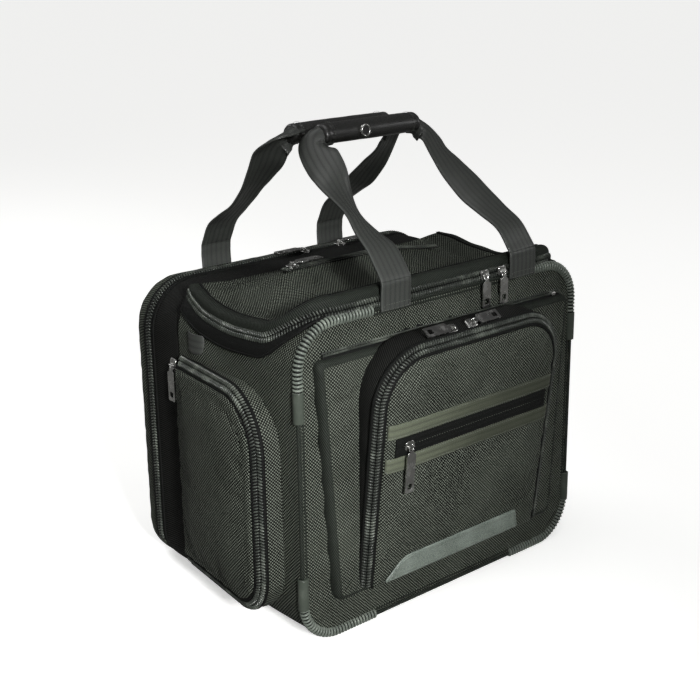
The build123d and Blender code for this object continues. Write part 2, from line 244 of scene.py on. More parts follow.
@dataclass
class Grid:
    """A surface given by points in rows and columns, with cloth coordinates in metres."""

    points: Array
    uv: Array
    wrap_rows: bool = False
    wrap_cols: bool = False
    finish: int = 0

    def faces(self) -> tuple[Array, Array]:
        """Quads between neighbouring points.

        Returns:
            Point numbers of each quad, and the cloth coordinates of its four corners.
        """
        rows, cols = self.points.shape[:2]
        r, c = np.meshgrid(np.arange(rows - (not self.wrap_rows)),
                           np.arange(cols - (not self.wrap_cols)), indexing="ij")
        r, c = r.ravel(), c.ravel()
        ring = [(r, c), (r, c + 1), (r + 1, c + 1), (r + 1, c)]
        index = np.stack([(i % rows) * cols + j % cols for i, j in ring], axis=1)
        return index, np.stack([self.uv[i, j] for i, j in ring], axis=1)

    def flipped(self) -> "Grid":
        """The same surface facing the other way; a ring keeps its first column."""
        points = np.roll(self.points[:, ::-1], int(self.wrap_cols), axis=1)
        return Grid(points, self.uv[:, ::-1], self.wrap_rows, self.wrap_cols, self.finish)

    def normals(self) -> Array:
        """The way the surface faces: the cross product of its two central differences."""
        return unit(np.cross(np.gradient(self.points, axis=1), np.gradient(self.points, axis=0)))

    def pushed(self, height: Array) -> "Grid":
        """The surface moved along its own normals."""
        return Grid(self.points + height[..., None] * self.normals(), self.uv,
                    self.wrap_rows, self.wrap_cols, self.finish)


def measured(points: Array, wrap_rows: bool = False, wrap_cols: bool = False, finish: int = 0) -> Grid:
    """A grid whose cloth coordinates are the distances along its middle row and column."""
    full = np.concatenate([points, points[:1]]) if wrap_rows else points
    full = np.concatenate([full, full[:, :1]], axis=1) if wrap_cols else full
    across = np.cumsum(np.pad(np.linalg.norm(np.diff(full, axis=1), axis=2), ((0, 0), (1, 0))), axis=1)
    along = travel(full[:, full.shape[1] // 2])
    uv = np.stack([np.broadcast_to(across.mean(0), full.shape[:2]),
                   np.broadcast_to(along[:, None], full.shape[:2])], axis=2)
    return Grid(points, uv, wrap_rows, wrap_cols, finish)


def swept(path: Path, profile: Array, closed: bool = True, swell: Array | None = None,
          finish: int = 0) -> Grid:
    """A profile carried along a path: each point is path + x * side + y * out.

    Args:
        path: The line to follow.
        profile: Points (x across, y outwards), the same all along or one row for each path point.
        closed: True if the profile is a ring, drawn anticlockwise.
        swell: A factor on the profile at each point of the path.
        finish: Index of the finish that the surface takes.
    """
    profiles = np.broadcast_to(profile, (len(path.points), *profile.shape[-2:]))
    if closed:
        profiles = profiles[:, ::-1]
    if swell is not None:
        profiles = profiles * swell[:, None, None]
    x, y = profiles[..., 0, None], profiles[..., 1, None]
    points = path.points[:, None] + x * path.side()[:, None] + y * path.out[:, None]
    if path.closed:
        points = points[:-1]
    return measured(points, wrap_rows=path.closed, wrap_cols=closed, finish=finish)


def ring(radius: float, count: int = 12, squash: float = 1.0) -> Array:
    """A round or oval profile."""
    a = np.linspace(0, 2 * np.pi, count, endpoint=False)
    return np.stack([radius * np.cos(a), radius * squash * np.sin(a)], axis=1)


def strap_profile(width: float, thick: float, crown: float = 0.0) -> Array:
    """A flat strap's section: straight faces, round edges and a slight crown."""
    half, r = width / 2 - thick / 2, thick / 2
    a = np.linspace(-np.pi / 2, np.pi / 2, 5)
    right = np.stack([half + r * np.cos(a), r * np.sin(a)], axis=1)
    top = np.linspace(half, -half, 9)[1:-1]
    arch = crown * (1 - (top / half) ** 2)
    upper = np.stack([top, r + arch], axis=1)
    left = np.stack([-half - r * np.cos(a), -r * np.sin(a)], axis=1)
    lower = np.stack([-top, -r + arch], axis=1)
    return np.concatenate([right, upper, left, lower])


def end_caps(grid: Grid) -> list[Grid]:
    """The two ends of a tube closed by a fan that shrinks to its middle."""
    caps = []
    for row, flip in ((grid.points[0], True), (grid.points[-1], False)):
        middle = row.mean(0)
        points = np.stack([middle + (row - middle) * t for t in (1.0, 0.5, 0.001)])
        cap = measured(points, wrap_cols=True, finish=grid.finish)
        caps.append(cap.flipped() if flip else cap)
    return caps


def tube(path: Path, profile: Array, finish: int = 0, swell: Array | None = None) -> list[Grid]:
    """A closed sweep with its ends shut."""
    body = swept(path, profile, True, swell, finish)
    return [body] if path.closed else [body, *end_caps(body)]


def repeated(path: Path, step: float, shape: Array, turn: float = 0.0, start: float = 0.5,
             finish: int = 0) -> list[Grid]:
    """One small closed shape set down again and again along a path.

    Args:
        path: The line to follow.
        step: Distance from one to the next.
        shape: Grid of points (along, side, out), closed round its columns.
        turn: Slant in the surface, in radians.
        start: Where the first lies, as a share of a step.
        finish: Index of the finish that the shapes take.
    """
    along = travel(path.points)
    at = np.arange(start * step, along[-1], step)
    read = lambda values: np.stack([np.interp(at, along, c) for c in values.T], axis=1)
    place, way, out = read(path.points), unit(read(path.tangent())), unit(read(path.out))
    side = np.cross(way, out)
    c, s = np.cos(turn), np.sin(turn)
    shape = shape[:, ::-1]
    a, b, h = shape[..., 0], shape[..., 1], shape[..., 2]
    a, b = a * c - b * s, a * s + b * c
    points = (place[:, None, None] + a[None, ..., None] * way[:, None, None]
              + b[None, ..., None] * side[:, None, None] + h[None, ..., None] * out[:, None, None])
    uv = np.zeros((shape.shape[0], shape.shape[1] + 1, 2))
    return [Grid(p, uv, wrap_cols=True, finish=finish) for p in points]


def bead(length: float, width: float, height: float, rows: int = 5, cols: int = 8) -> Array:
    """A small rounded block: an oval whose size follows a superellipse from end to end."""
    t = np.sin(np.linspace(-1, 1, rows) * np.pi / 2)
    size = (1 - np.abs(t) ** 3.0) ** (1 / 3.0)
    a = np.linspace(0, 2 * np.pi, cols, endpoint=False)
    along = np.broadcast_to(t[:, None] * length / 2, (rows, cols))
    side = size[:, None] * np.cos(a) * width / 2
    out = size[:, None] * np.sin(a) * height / 2
    return np.stack([along, side, out], axis=2)


def make_piece(name: str, grids: Sequence[Grid], finishes: Sequence["bpy.types.Material"],
               weld: bool = False) -> bpy.types.Object:
    """One Blender object from grids, with its "cloth" UV map.

    Args:
        name: The piece's name.
        grids: Its surfaces.
        finishes: Materials, indexed by each grid's finish.
        weld: Merge the points that lie together, and turn every face outwards.

    Returns:
        The object, at the origin.
    """
    verts, quads, uvs, slots, base = [], [], [], [], 0
    for grid in grids:
        index, uv = grid.faces()
        verts.append(grid.points.reshape(-1, 3))
        quads.append(index + base)
        uvs.append(uv)
        slots.append(np.full(len(index), grid.finish))
        base += len(verts[-1])
    verts, quads = np.concatenate(verts), np.concatenate(quads)
    mesh = bpy.data.meshes.new(name)
    mesh.from_pydata(verts, [], quads)
    layer = mesh.uv_layers.new(name=UV_NAME)
    layer.data.foreach_set("uv", np.concatenate(uvs).astype(np.float32).ravel())
    mesh.polygons.foreach_set("material_index", np.concatenate(slots).astype(np.int32))
    mesh.polygons.foreach_set("use_smooth", np.full(len(quads), True))
    for finish in finishes:
        mesh.materials.append(finish)
    if weld:
        work = bmesh.new()
        work.from_mesh(mesh)
        bmesh.ops.remove_doubles(work, verts=work.verts, dist=2e-5)
        bmesh.ops.dissolve_degenerate(work, edges=work.edges, dist=1e-6)
        bmesh.ops.recalc_face_normals(work, faces=work.faces)
        work.to_mesh(mesh)
        work.free()
    mesh.validate()
    mesh.update()
    piece = bpy.data.objects.new(name, mesh)
    bpy.context.scene.collection.objects.link(piece)
    return piece


def subdivide(piece: bpy.types.Object, levels: int = 1) -> None:
    """Add a Subdivision Surface modifier with the same level in view and render."""
    modifier = piece.modifiers.new("Subdivision", "SUBSURF")
    modifier.levels = modifier.render_levels = levels


def thicken(piece: bpy.types.Object, thick: float, offset: float = -1.0) -> None:
    """Give a single-skin piece a wall, inwards unless told otherwise."""
    modifier = piece.modifiers.new("Solidify", "SOLIDIFY")
    modifier.thickness = thick
    modifier.offset = offset
    modifier.use_even_offset = False


def settle(piece: bpy.types.Object, body: str, nodes: Sequence[str] = (),
           ) -> bpy.types.Object:
    """Put a finished piece on its body, and hide the frame nodes that it stands for."""
    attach(piece, body)
    if nodes:
        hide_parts(*nodes)
    log.info("%s rides on %s", piece.name, body)
    return piece


def sew(name: str, grids: Sequence[Grid], finishes: Sequence["bpy.types.Material"], body: str,
        nodes: Sequence[str] = (), wall: float = 0.0, lined: bool = False) -> bpy.types.Object:
    """Make a welded piece, give it its wall and put it on its body.

    Args:
        name: The piece's name.
        grids: Its surfaces.
        finishes: Its materials, indexed by each grid's finish.
        body: The body that it rides on.
        nodes: The frame nodes that it stands for.
        wall: Thickness to add, if any.
        lined: True if the inside takes the next finish.

    Returns:
        The piece.
    """
    piece = make_piece(name, grids, finishes, weld=True)
    if wall:
        thicken(piece, wall)
        piece.modifiers["Solidify"].material_offset = int(lined)
    return settle(piece, body, nodes)


# ---- Shader maths and finishes ----

class Wire:
    """A node's output on which operators work: each one adds a Math node."""

    def __init__(self, bench: "Bench", socket: "bpy.types.NodeSocket") -> None:
        """Hold the socket and the bench whose node tree it belongs to."""
        self.bench, self.socket = bench, socket

    def math(self, operation: str, *others: object) -> "Wire":
        """A Math node whose first value is this wire."""
        return self.bench.math(operation, self, *others)

    def __add__(self, other: object) -> "Wire":
        """This plus other."""
        return self.math("ADD", other)

    def __radd__(self, other: object) -> "Wire":
        """Other plus this."""
        return self.bench.math("ADD", other, self)

    def __sub__(self, other: object) -> "Wire":
        """This minus other."""
        return self.math("SUBTRACT", other)

    def __rsub__(self, other: object) -> "Wire":
        """Other minus this."""
        return self.bench.math("SUBTRACT", other, self)

    def __mul__(self, other: object) -> "Wire":
        """This times other."""
        return self.math("MULTIPLY", other)

    def __rmul__(self, other: object) -> "Wire":
        """Other times this."""
        return self.bench.math("MULTIPLY", other, self)

    def __truediv__(self, other: object) -> "Wire":
        """This divided by other."""
        return self.math("DIVIDE", other)

    def sine(self) -> "Wire":
        """The sine of this, in radians."""
        return self.math("SINE")

    def size(self) -> "Wire":
        """This without its sign."""
        return self.math("ABSOLUTE")

    def step(self, start: float, end: float) -> "Wire":
        """A smooth step from 0 at start to 1 at end."""
        node = self.bench.node("ShaderNodeMapRange", {"interpolation_type": "SMOOTHSTEP"},
                               {"Value": self, "From Min": start, "From Max": end})
        return Wire(self.bench, node.outputs["Result"])


class Bench:
    """A material's node tree, with one Principled shader to dress."""

    def __init__(self, name: str) -> None:
        """Start an empty tree that holds the shader and the output."""
        self.material = bpy.data.materials.new(name)
        self.material.use_nodes = True
        self.tree = self.material.node_tree
        self.tree.nodes.clear()
        self.shader = self.node("ShaderNodeBsdfPrincipled")
        surface = Wire(self, self.shader.outputs[0])
        self.output = self.node("ShaderNodeOutputMaterial", {}, {"Surface": surface})

    def node(self, kind: str, settings: dict | None = None, sockets: dict | None = None,
             ) -> "bpy.types.Node":
        """Add a node.

        Args:
            kind: The node's type.
            settings: Its properties, set first; "stops" gives a ramp's (place, colour) pairs.
            sockets: Values or wires, by socket name, identifier or number.

        Returns:
            The node.
        """
        node = self.tree.nodes.new(kind)
        for name, value in (settings or {}).items():
            if name == "stops":
                elements = node.color_ramp.elements
                while len(elements) < len(value):
                    elements.new(0.5)
                for element, (place, colour) in zip(elements, value):
                    element.position, element.color = place, (*colour, 1)
            else:
                setattr(node, name, value)
        for key, value in (sockets or {}).items():
            self.feed(node, key, value)
        return node

    def feed(self, node: "bpy.types.Node", key: object, value: object) -> None:
        """Set one socket to a value, or link a wire to it."""
        if isinstance(key, int):
            socket = node.inputs[key]
        else:
            socket = next((s for s in node.inputs if s.identifier == key), None) or node.inputs[key]
        if isinstance(value, Wire):
            self.tree.links.new(value.socket, socket)
        elif socket.type == "RGBA" and len(value) == 3:
            socket.default_value = (*value, 1)
        else:
            socket.default_value = value

    def math(self, operation: str, *values: object) -> Wire:
        """A Math node on wires and numbers."""
        node = self.node("ShaderNodeMath", {"operation": operation}, dict(enumerate(values)))
        return Wire(self, node.outputs[0])

    def cloth_place(self) -> tuple[Wire, Wire]:
        """Metres across and along the piece's cloth."""
        uv = self.node("ShaderNodeUVMap", {"uv_map": UV_NAME})
        split = self.node("ShaderNodeSeparateXYZ", {}, {0: Wire(self, uv.outputs[0])})
        return Wire(self, split.outputs[0]), Wire(self, split.outputs[1])

    def place(self) -> Wire:
        """The place in the object's own space."""
        return Wire(self, self.node("ShaderNodeTexCoord").outputs["Object"])

    def noise(self, scale: float, detail: float = 3.0, rough: float = 0.5, at: Wire | None = None) -> Wire:
        """Smooth noise from 0 to 1."""
        node = self.node("ShaderNodeTexNoise", {}, {"Vector": at or self.place(), "Scale": scale,
                                                    "Detail": detail, "Roughness": rough})
        return Wire(self, node.outputs[0])

    def cells(self, scale: float) -> Wire:
        """Distance to the nearest edge between scattered cells."""
        node = self.node("ShaderNodeTexVoronoi", {"feature": "DISTANCE_TO_EDGE"},
                         {"Vector": self.place(), "Scale": scale})
        return Wire(self, node.outputs["Distance"])

    def mix(self, share: object, a: object, b: object) -> Wire:
        """A blend of two colours."""
        node = self.node("ShaderNodeMix", {"data_type": "RGBA"},
                         {"Factor_Float": share, "A_Color": a, "B_Color": b})
        return Wire(self, next(s for s in node.outputs if s.identifier == "Result_Color"))

    def relief(self, height: Wire, depth: float, under: Wire | None = None) -> Wire:
        """A Bump node: height times depth, in metres, laid over another relief."""
        sockets = {"Height": height, "Distance": depth, "Strength": 1.0}
        if under:
            sockets["Normal"] = under
        return Wire(self, self.node("ShaderNodeBump", {}, sockets).outputs[0])

    def dress(self, **sockets: object) -> "bpy.types.Material":
        """Set the shader's sockets, given by name with underscores for spaces.

        Returns:
            The finished material.
        """
        for name, value in sockets.items():
            self.feed(self.shader, name.replace("_", " "), value)
        return self.material


def seen_by_camera(tree: "bpy.types.NodeTree", seen: "bpy.types.NodeSocket",
                   thrown: "bpy.types.NodeSocket") -> "bpy.types.NodeSocket":
    """Mix two shaders by the kind of ray.

    Args:
        tree: The node tree of both.
        seen: The shader that the camera sees.
        thrown: The shader that every other ray meets.

    Returns:
        The mixed shader.
    """
    ray, mix = tree.nodes.new("ShaderNodeLightPath"), tree.nodes.new("ShaderNodeMixShader")
    for source, end in zip((ray.outputs["Is Camera Ray"], thrown, seen), mix.inputs):
        tree.links.new(source, end)
    return mix.outputs[0]


class Weave(Enum):
    """How a cloth's threads cross."""

    BASKET = "basket"
    TWILL = "twill"
    HERRINGBONE = "herringbone"
    STRIPED = "striped"


Colour = tuple[float, float, float]


@dataclass(frozen=True)
class Cloth:
    """A woven finish: painted shade between the threads, and a painted highlight on them, which are also
    shinier and higher.

    Attributes:
        name: The material's name.
        weave: How the threads cross.
        thread: Colour on top of the threads, lightened as a painted highlight.
        gap: Colour between them, darkened as painted shade.
        pitch: The pattern's repeat, in metres.
        depth: Height of the threads, in metres.
        rough: Roughness on top of the threads.
        streak: Share of slow colour change along the cloth.
        painted_shade_length: Length over which a painted shade darkens a strip to a third, in metres; 0
            leaves it even.
        gloss: Level of the mirror-like share of the light.
    """

    name: str
    weave: Weave
    thread: Colour
    gap: Colour
    pitch: float
    depth: float
    rough: float = 0.5
    streak: float = 0.08
    painted_shade_length: float = 0.0
    gloss: float = 0.10

    def height(self, bench: Bench, u: Wire, v: Wire) -> Wire:
        """The threads' height from 0 to 1, by the formula of the weave.

        Basket: half of 1 + sin(u) sin(v), so bumps stand like a chequerboard.
        Twill: half of 1 + sin(u + v), steepened, and broken by fine beads along each ridge.
        Herringbone: twill whose slant turns over every few ridges.
        Striped: fine twill under three soft stripes that run along the strap.
        """
        k = 2 * np.pi / self.pitch
        if self.weave is Weave.BASKET:
            return 0.5 + 0.5 * ((u * k).sine() * (v * k).sine())
        if self.weave is Weave.TWILL:
            return 0.5 + 0.3 * ((u + v * 0.6) * k).sine() + 0.2 * ((u - v * 1.4) * (k * 1.2)).sine()
        if self.weave is Weave.STRIPED:
            fine = 0.5 + 0.5 * ((u * 0.8 + v) * k).sine()
            return fine * 0.6 + 0.4 * (u * (2 * np.pi / STRIPE)).sine().size()
        turn = (u * (k / 8)).sine().size() * (self.pitch * 2.4)
        return 0.5 + 0.5 * ((v + turn) * k).sine()

    def make(self) -> "bpy.types.Material":
        """Build the material."""
        bench = Bench(self.name)
        u, v = bench.cloth_place()
        threads = self.height(bench, u, v)
        slow = bench.noise(14, 4, 0.6)
        fuzz = bench.noise(900, 2, 0.6)
        crown = (threads + (fuzz - 0.5) * 0.3).step(0.49, 0.80)
        # Painted highlight on the threads' tops and painted shade between them, mixed by the threads' height.
        body = bench.mix(crown, self.gap, self.thread)
        # Painted shade along a strip: lit like a highlight where it starts and darker further along, as the
        # key light falls off, with noisy streaks at its edge.
        if self.painted_shade_length:
            streaks = bench.node("ShaderNodeMapping", {}, {"Vector": bench.place(), "Scale": (30, 30, 900)})
            lines = bench.noise(1.0, 3, 0.6, Wire(bench, streaks.outputs[0]))
            share = ((v + (lines - 0.5) * 0.14) / self.painted_shade_length).step(0.1, 1.0) * 0.85
            body = bench.mix(share, body, tuple(0.22 * c for c in self.thread))
        faded = bench.mix(slow.step(0.35, 0.75) * self.streak, body, tuple(1.5 * c for c in self.thread))
        normal = bench.relief(threads, self.depth, bench.relief(fuzz, self.depth * 0.35))
        return bench.dress(Base_Color=faded, Roughness=self.rough + 0.3 * (1 - crown),
                           Normal=normal, Specular_IOR_Level=self.gloss)


@dataclass(frozen=True)
class Moulded:
    """A moulded plastic or rubber finish with fine grain and rubbed high spots."""

    name: str
    colour: Colour
    worn: Colour
    rough: float
    grain: float = 0.00008
    scale: float = 700.0
    gloss: float = 0.35

    def make(self) -> "bpy.types.Material":
        """Build the material: two scales of noise for grain, rubbing and gloss."""
        bench = Bench(self.name)
        fine, slow = bench.noise(self.scale, 3, 0.6), bench.noise(60, 3, 0.5)
        rubbed = (slow + (fine - 0.5) * 0.4).step(0.45, 0.8)
        return bench.dress(Base_Color=bench.mix(rubbed, self.colour, self.worn),
                           Specular_IOR_Level=self.gloss, Roughness=self.rough + 0.15 * (fine - 0.5),
                           Normal=bench.relief(fine, self.grain))


@dataclass(frozen=True)
class Leather:
    """Grained leather: pebbles between creases, lighter and smoother where it is handled."""

    name: str
    colour: Colour
    crease: Colour
    pebble: float
    depth: float
    rough: float
    coat: float

    def make(self) -> "bpy.types.Material":
        """Build the material: cell edges are the creases, noise gives the colour and the gloss."""
        bench = Bench(self.name)
        pebbles = bench.cells(self.pebble).step(0.0, 0.28)
        fine, slow = bench.noise(1500, 2, 0.5), bench.noise(30, 3, 0.5)
        colour = bench.mix(pebbles, self.crease, self.colour)
        handled = bench.mix(slow.step(0.4, 0.8) * 0.35, colour, tuple(1.6 * c for c in self.colour))
        normal = bench.relief(pebbles, self.depth, bench.relief(fine, self.depth * 0.3))
        return bench.dress(Base_Color=handled, Roughness=self.rough + 0.2 * (1 - pebbles) + 0.1 * slow,
                           Normal=normal, Coat_Weight=self.coat, Coat_Roughness=0.25)


@dataclass(frozen=True)
class Nickel:
    """Bright plated metal with fine brushing, smudges and small dents."""

    name: str
    colour: Colour = (0.62, 0.62, 0.60)
    rough: float = 0.2

    def make(self) -> "bpy.types.Material":
        """Build the material: stretched noise is the brushing, slow noise the smudges."""
        bench = Bench(self.name)
        stretch = bench.node("ShaderNodeMapping", {}, {"Vector": bench.place(), "Scale": (3000, 3000, 160)})
        brushing = bench.noise(1.0, 2, 0.5, Wire(bench, stretch.outputs[0]))
        smudge, dents = bench.noise(120, 3, 0.6), bench.noise(260, 2, 0.5)
        tone = bench.mix(smudge.step(0.35, 0.7), tuple(0.72 * c for c in self.colour), self.colour)
        normal = bench.relief(brushing, 0.000015, bench.relief(dents, 0.00012))
        return bench.dress(Base_Color=tone, Metallic=1.0, Normal=normal,
                           Roughness=self.rough + 0.22 * smudge.step(0.4, 0.8))


@dataclass(frozen=True)
class Paper:
    """A plain studio surface with a trace of tooth, pale to the eye and darker to the bag above it."""

    name: str
    colour: Colour
    thrown: Colour = (0.30, 0.30, 0.29)

    def make(self) -> "bpy.types.Material":
        """Build the material."""
        bench = Bench(self.name)
        tooth = bench.noise(40, 3, 0.5)
        tone = bench.mix(tooth, tuple(0.985 * c for c in self.colour), self.colour)
        paper = bench.dress(Base_Color=tone, Roughness=0.75 + 0.05 * tooth, Specular_IOR_Level=0.2,
                            Emission_Color=self.colour, Emission_Strength=0.60)
        dim = bench.node("ShaderNodeBsdfDiffuse", {}, {"Color": self.thrown})
        seen = seen_by_camera(bench.tree, bench.shader.outputs[0], dim.outputs[0])
        bench.feed(bench.output, "Surface", Wire(bench, seen))
        return paper


class Finishes:
    """Every finish of the bag, made once."""

    def __init__(self) -> None:
        """Make the materials."""
        # Each cloth's gap colour is painted shade between its threads, and its thread colour carries a
        # painted highlight.
        green, dark = (0.128, 0.143, 0.116), (0.0012, 0.0014, 0.0011)
        self.ballistic = Cloth("ballistic_cloth", Weave.BASKET, green, dark, 0.0033, 0.0007, 0.40).make()
        self.lining = Cloth("dark_lining_cloth", Weave.TWILL, (0.020, 0.021, 0.019), (0.0015, 0.0015, 0.0014),
                            0.0022, 0.0003, 0.5).make()
        self.webbing = Cloth("webbing", Weave.STRIPED, (0.050, 0.055, 0.048), (0.016, 0.017, 0.016),
                             0.0012, 0.00010, 0.30, gloss=0.55).make()
        # The satin bands carry a painted highlight where they start and a painted shade that darkens them
        # along their length.
        self.satin = Cloth("satin_band", Weave.STRIPED, (0.115, 0.128, 0.088), (0.055, 0.061, 0.044),
                           0.0009, 0.00005, 0.36, painted_shade_length=0.16, gloss=0.25).make()
        self.trim = Cloth("border_band", Weave.TWILL, (0.036, 0.042, 0.034), (0.004, 0.005, 0.004),
                          0.0020, 0.00025, 0.40).make()
        self.tape = Cloth("zip_tape", Weave.HERRINGBONE, (0.010, 0.011, 0.010), (0.0015, 0.0015, 0.0015),
                          0.0014, 0.00015, 0.5).make()
        self.coil = Moulded("zip_coil", (0.034, 0.038, 0.033), (0.115, 0.128, 0.108), 0.24,
                            gloss=0.3).make()
        self.guard = Moulded("ribbed_guard", (0.115, 0.132, 0.112), (0.20, 0.225, 0.19), 0.30,
                             gloss=0.4).make()
        self.sleeve = Moulded("guard_sleeve", (0.042, 0.050, 0.040), (0.070, 0.080, 0.066), 0.34,
                              gloss=0.3).make()
        # Near-black finish for a guard's core: painted shade in the grooves between its ribs.
        self.groove_shade = Moulded("guard_groove_shade", (0.008, 0.009, 0.008), (0.014, 0.015, 0.014), 0.6,
                              gloss=0.1).make()
        self.patch = Leather("patch_leather", (0.185, 0.215, 0.188), (0.060, 0.075, 0.062),
                             900, 0.0001, 0.36, 0.1).make()
        self.grip = Leather("grip_leather", (0.010, 0.010, 0.008), (0.002, 0.002, 0.002),
                            650, 0.00012, 0.26, 0.5).make()
        self.nickel = Nickel("bright_nickel").make()
        self.board = Moulded("stiff_board", (0.03, 0.032, 0.03), (0.05, 0.052, 0.05), 0.6, 0.0002).make()
        self.thread = Moulded("sewing_thread", (0.10, 0.11, 0.095), (0.15, 0.16, 0.14), 0.55).make()
        self.zip, self.lined = [self.tape, self.coil], [self.ballistic, self.lining]
        self.hole = Moulded("dark_recess", (0.01, 0.01, 0.01), (0.02, 0.02, 0.02), 0.7).make()


# ---- Shared shapes of soft goods ----

@dataclass
class Place:
    """A flat place in the bag: an origin, and the ways across, up and out."""

    origin: Array
    across: Array
    up: Array
    out: Array

    def at(self, plan: Array, lift: Array | float = 0.0) -> Array:
        """Points given by (across, up) and a lift, in the bag's space."""
        lift = np.broadcast_to(lift, plan.shape[:-1])
        return (self.origin + plan[..., :1] * self.across + plan[..., 1:] * self.up
                + lift[..., None] * self.out)

    def moved(self, out: float) -> "Place":
        """The same place moved outwards."""
        return Place(self.origin + out * self.out, self.across, self.up, self.out)

    def line(self, plan: Array, lift: float = 0.0) -> Path:
        """A line laid on the place, facing out of it."""
        return Path(self.at(plan, lift), self.out)

    def rim(self, plan: Array, lift: float = 0.0, lean: float = 0.0) -> Path:
        """An anticlockwise line that faces outwards in the plane, leaned by an angle to the front."""
        way = unit(np.gradient(plan, axis=0))
        flat = np.stack([way[:, 1], -way[:, 0]], axis=1)
        outward = flat[:, :1] * self.across + flat[:, 1:] * self.up
        return Path(self.at(plan, lift), np.cos(lean) * outward + np.sin(lean) * self.out)


def coons(foot: Array, head: Array, left: Array, right: Array) -> Array:
    """A surface between four curves: both straight blends, less the blend of the corners."""
    u = np.linspace(0, 1, len(foot))[None, :, None]
    v = np.linspace(0, 1, len(left))[:, None, None]
    ruled = (1 - v) * foot[None] + v * head[None] + (1 - u) * left[:, None] + u * right[:, None]
    return ruled - ((1 - u) * (1 - v) * foot[0] + u * (1 - v) * foot[-1]
                    + (1 - u) * v * head[0] + u * v * head[-1])


def drape(grid: Grid, held: Array, pressure: float = 4.0, weight: float = 0.0, slack: float = 0.01,
          cap: float = 0.006, frames: int = 20, seed: int = 1) -> Grid:
    """Blow or sag a sheet with the cloth simulation, and keep only where its points went.

    Args:
        grid: The sheet at rest.
        held: True where a seam holds it.
        pressure: Air pressure behind it.
        weight: Share of gravity.
        slack: Extra cloth, as a share of its length.
        cap: Furthest that a point may move, in metres.
        frames: Length of the simulation.
        seed: Seed of the uneven start that lets folds form.

    Returns:
        The sheet with its new points.
    """
    start = grid.points + 0.0004 * (drift(grid.points, seed, 0.035) * ~held)[..., None] * grid.normals()
    piece = make_piece("sheet_in_work", [Grid(start, grid.uv)], [])
    group = piece.vertex_groups.new(name="held")
    group.add([int(i) for i in np.flatnonzero(held.ravel())], 1.0, "REPLACE")
    modifier = piece.modifiers.new("Cloth", "CLOTH")
    settings = modifier.settings
    settings.quality = 5
    settings.mass = 0.15
    settings.tension_stiffness = settings.compression_stiffness = 20
    settings.shear_stiffness = 10
    settings.bending_stiffness = 0.4
    settings.vertex_group_mass = "held"
    settings.use_pressure = pressure != 0
    settings.uniform_pressure_force = pressure
    settings.shrink_min = -slack
    settings.effector_weights.gravity = weight
    modifier.collision_settings.use_collision = False
    modifier.point_cache.frame_start, modifier.point_cache.frame_end = 1, frames
    scene = bpy.context.scene
    for number in range(1, frames + 1):
        scene.frame_set(number)
    finished = piece.evaluated_get(bpy.context.evaluated_depsgraph_get()).to_mesh()
    flat = np.empty(len(finished.vertices) * 3, np.float32)
    finished.vertices.foreach_get("co", flat)
    scene.frame_set(1)
    mesh = piece.data
    bpy.data.objects.remove(piece)
    bpy.data.meshes.remove(mesh)
    move = flat.reshape(grid.points.shape) - grid.points
    far = np.linalg.norm(move, axis=-1, keepdims=True)
    move *= cap * np.tanh(far / cap) / np.maximum(far, 1e-9)
    return Grid(grid.points + move * ~held[..., None], grid.uv, grid.wrap_rows, grid.wrap_cols, grid.finish)


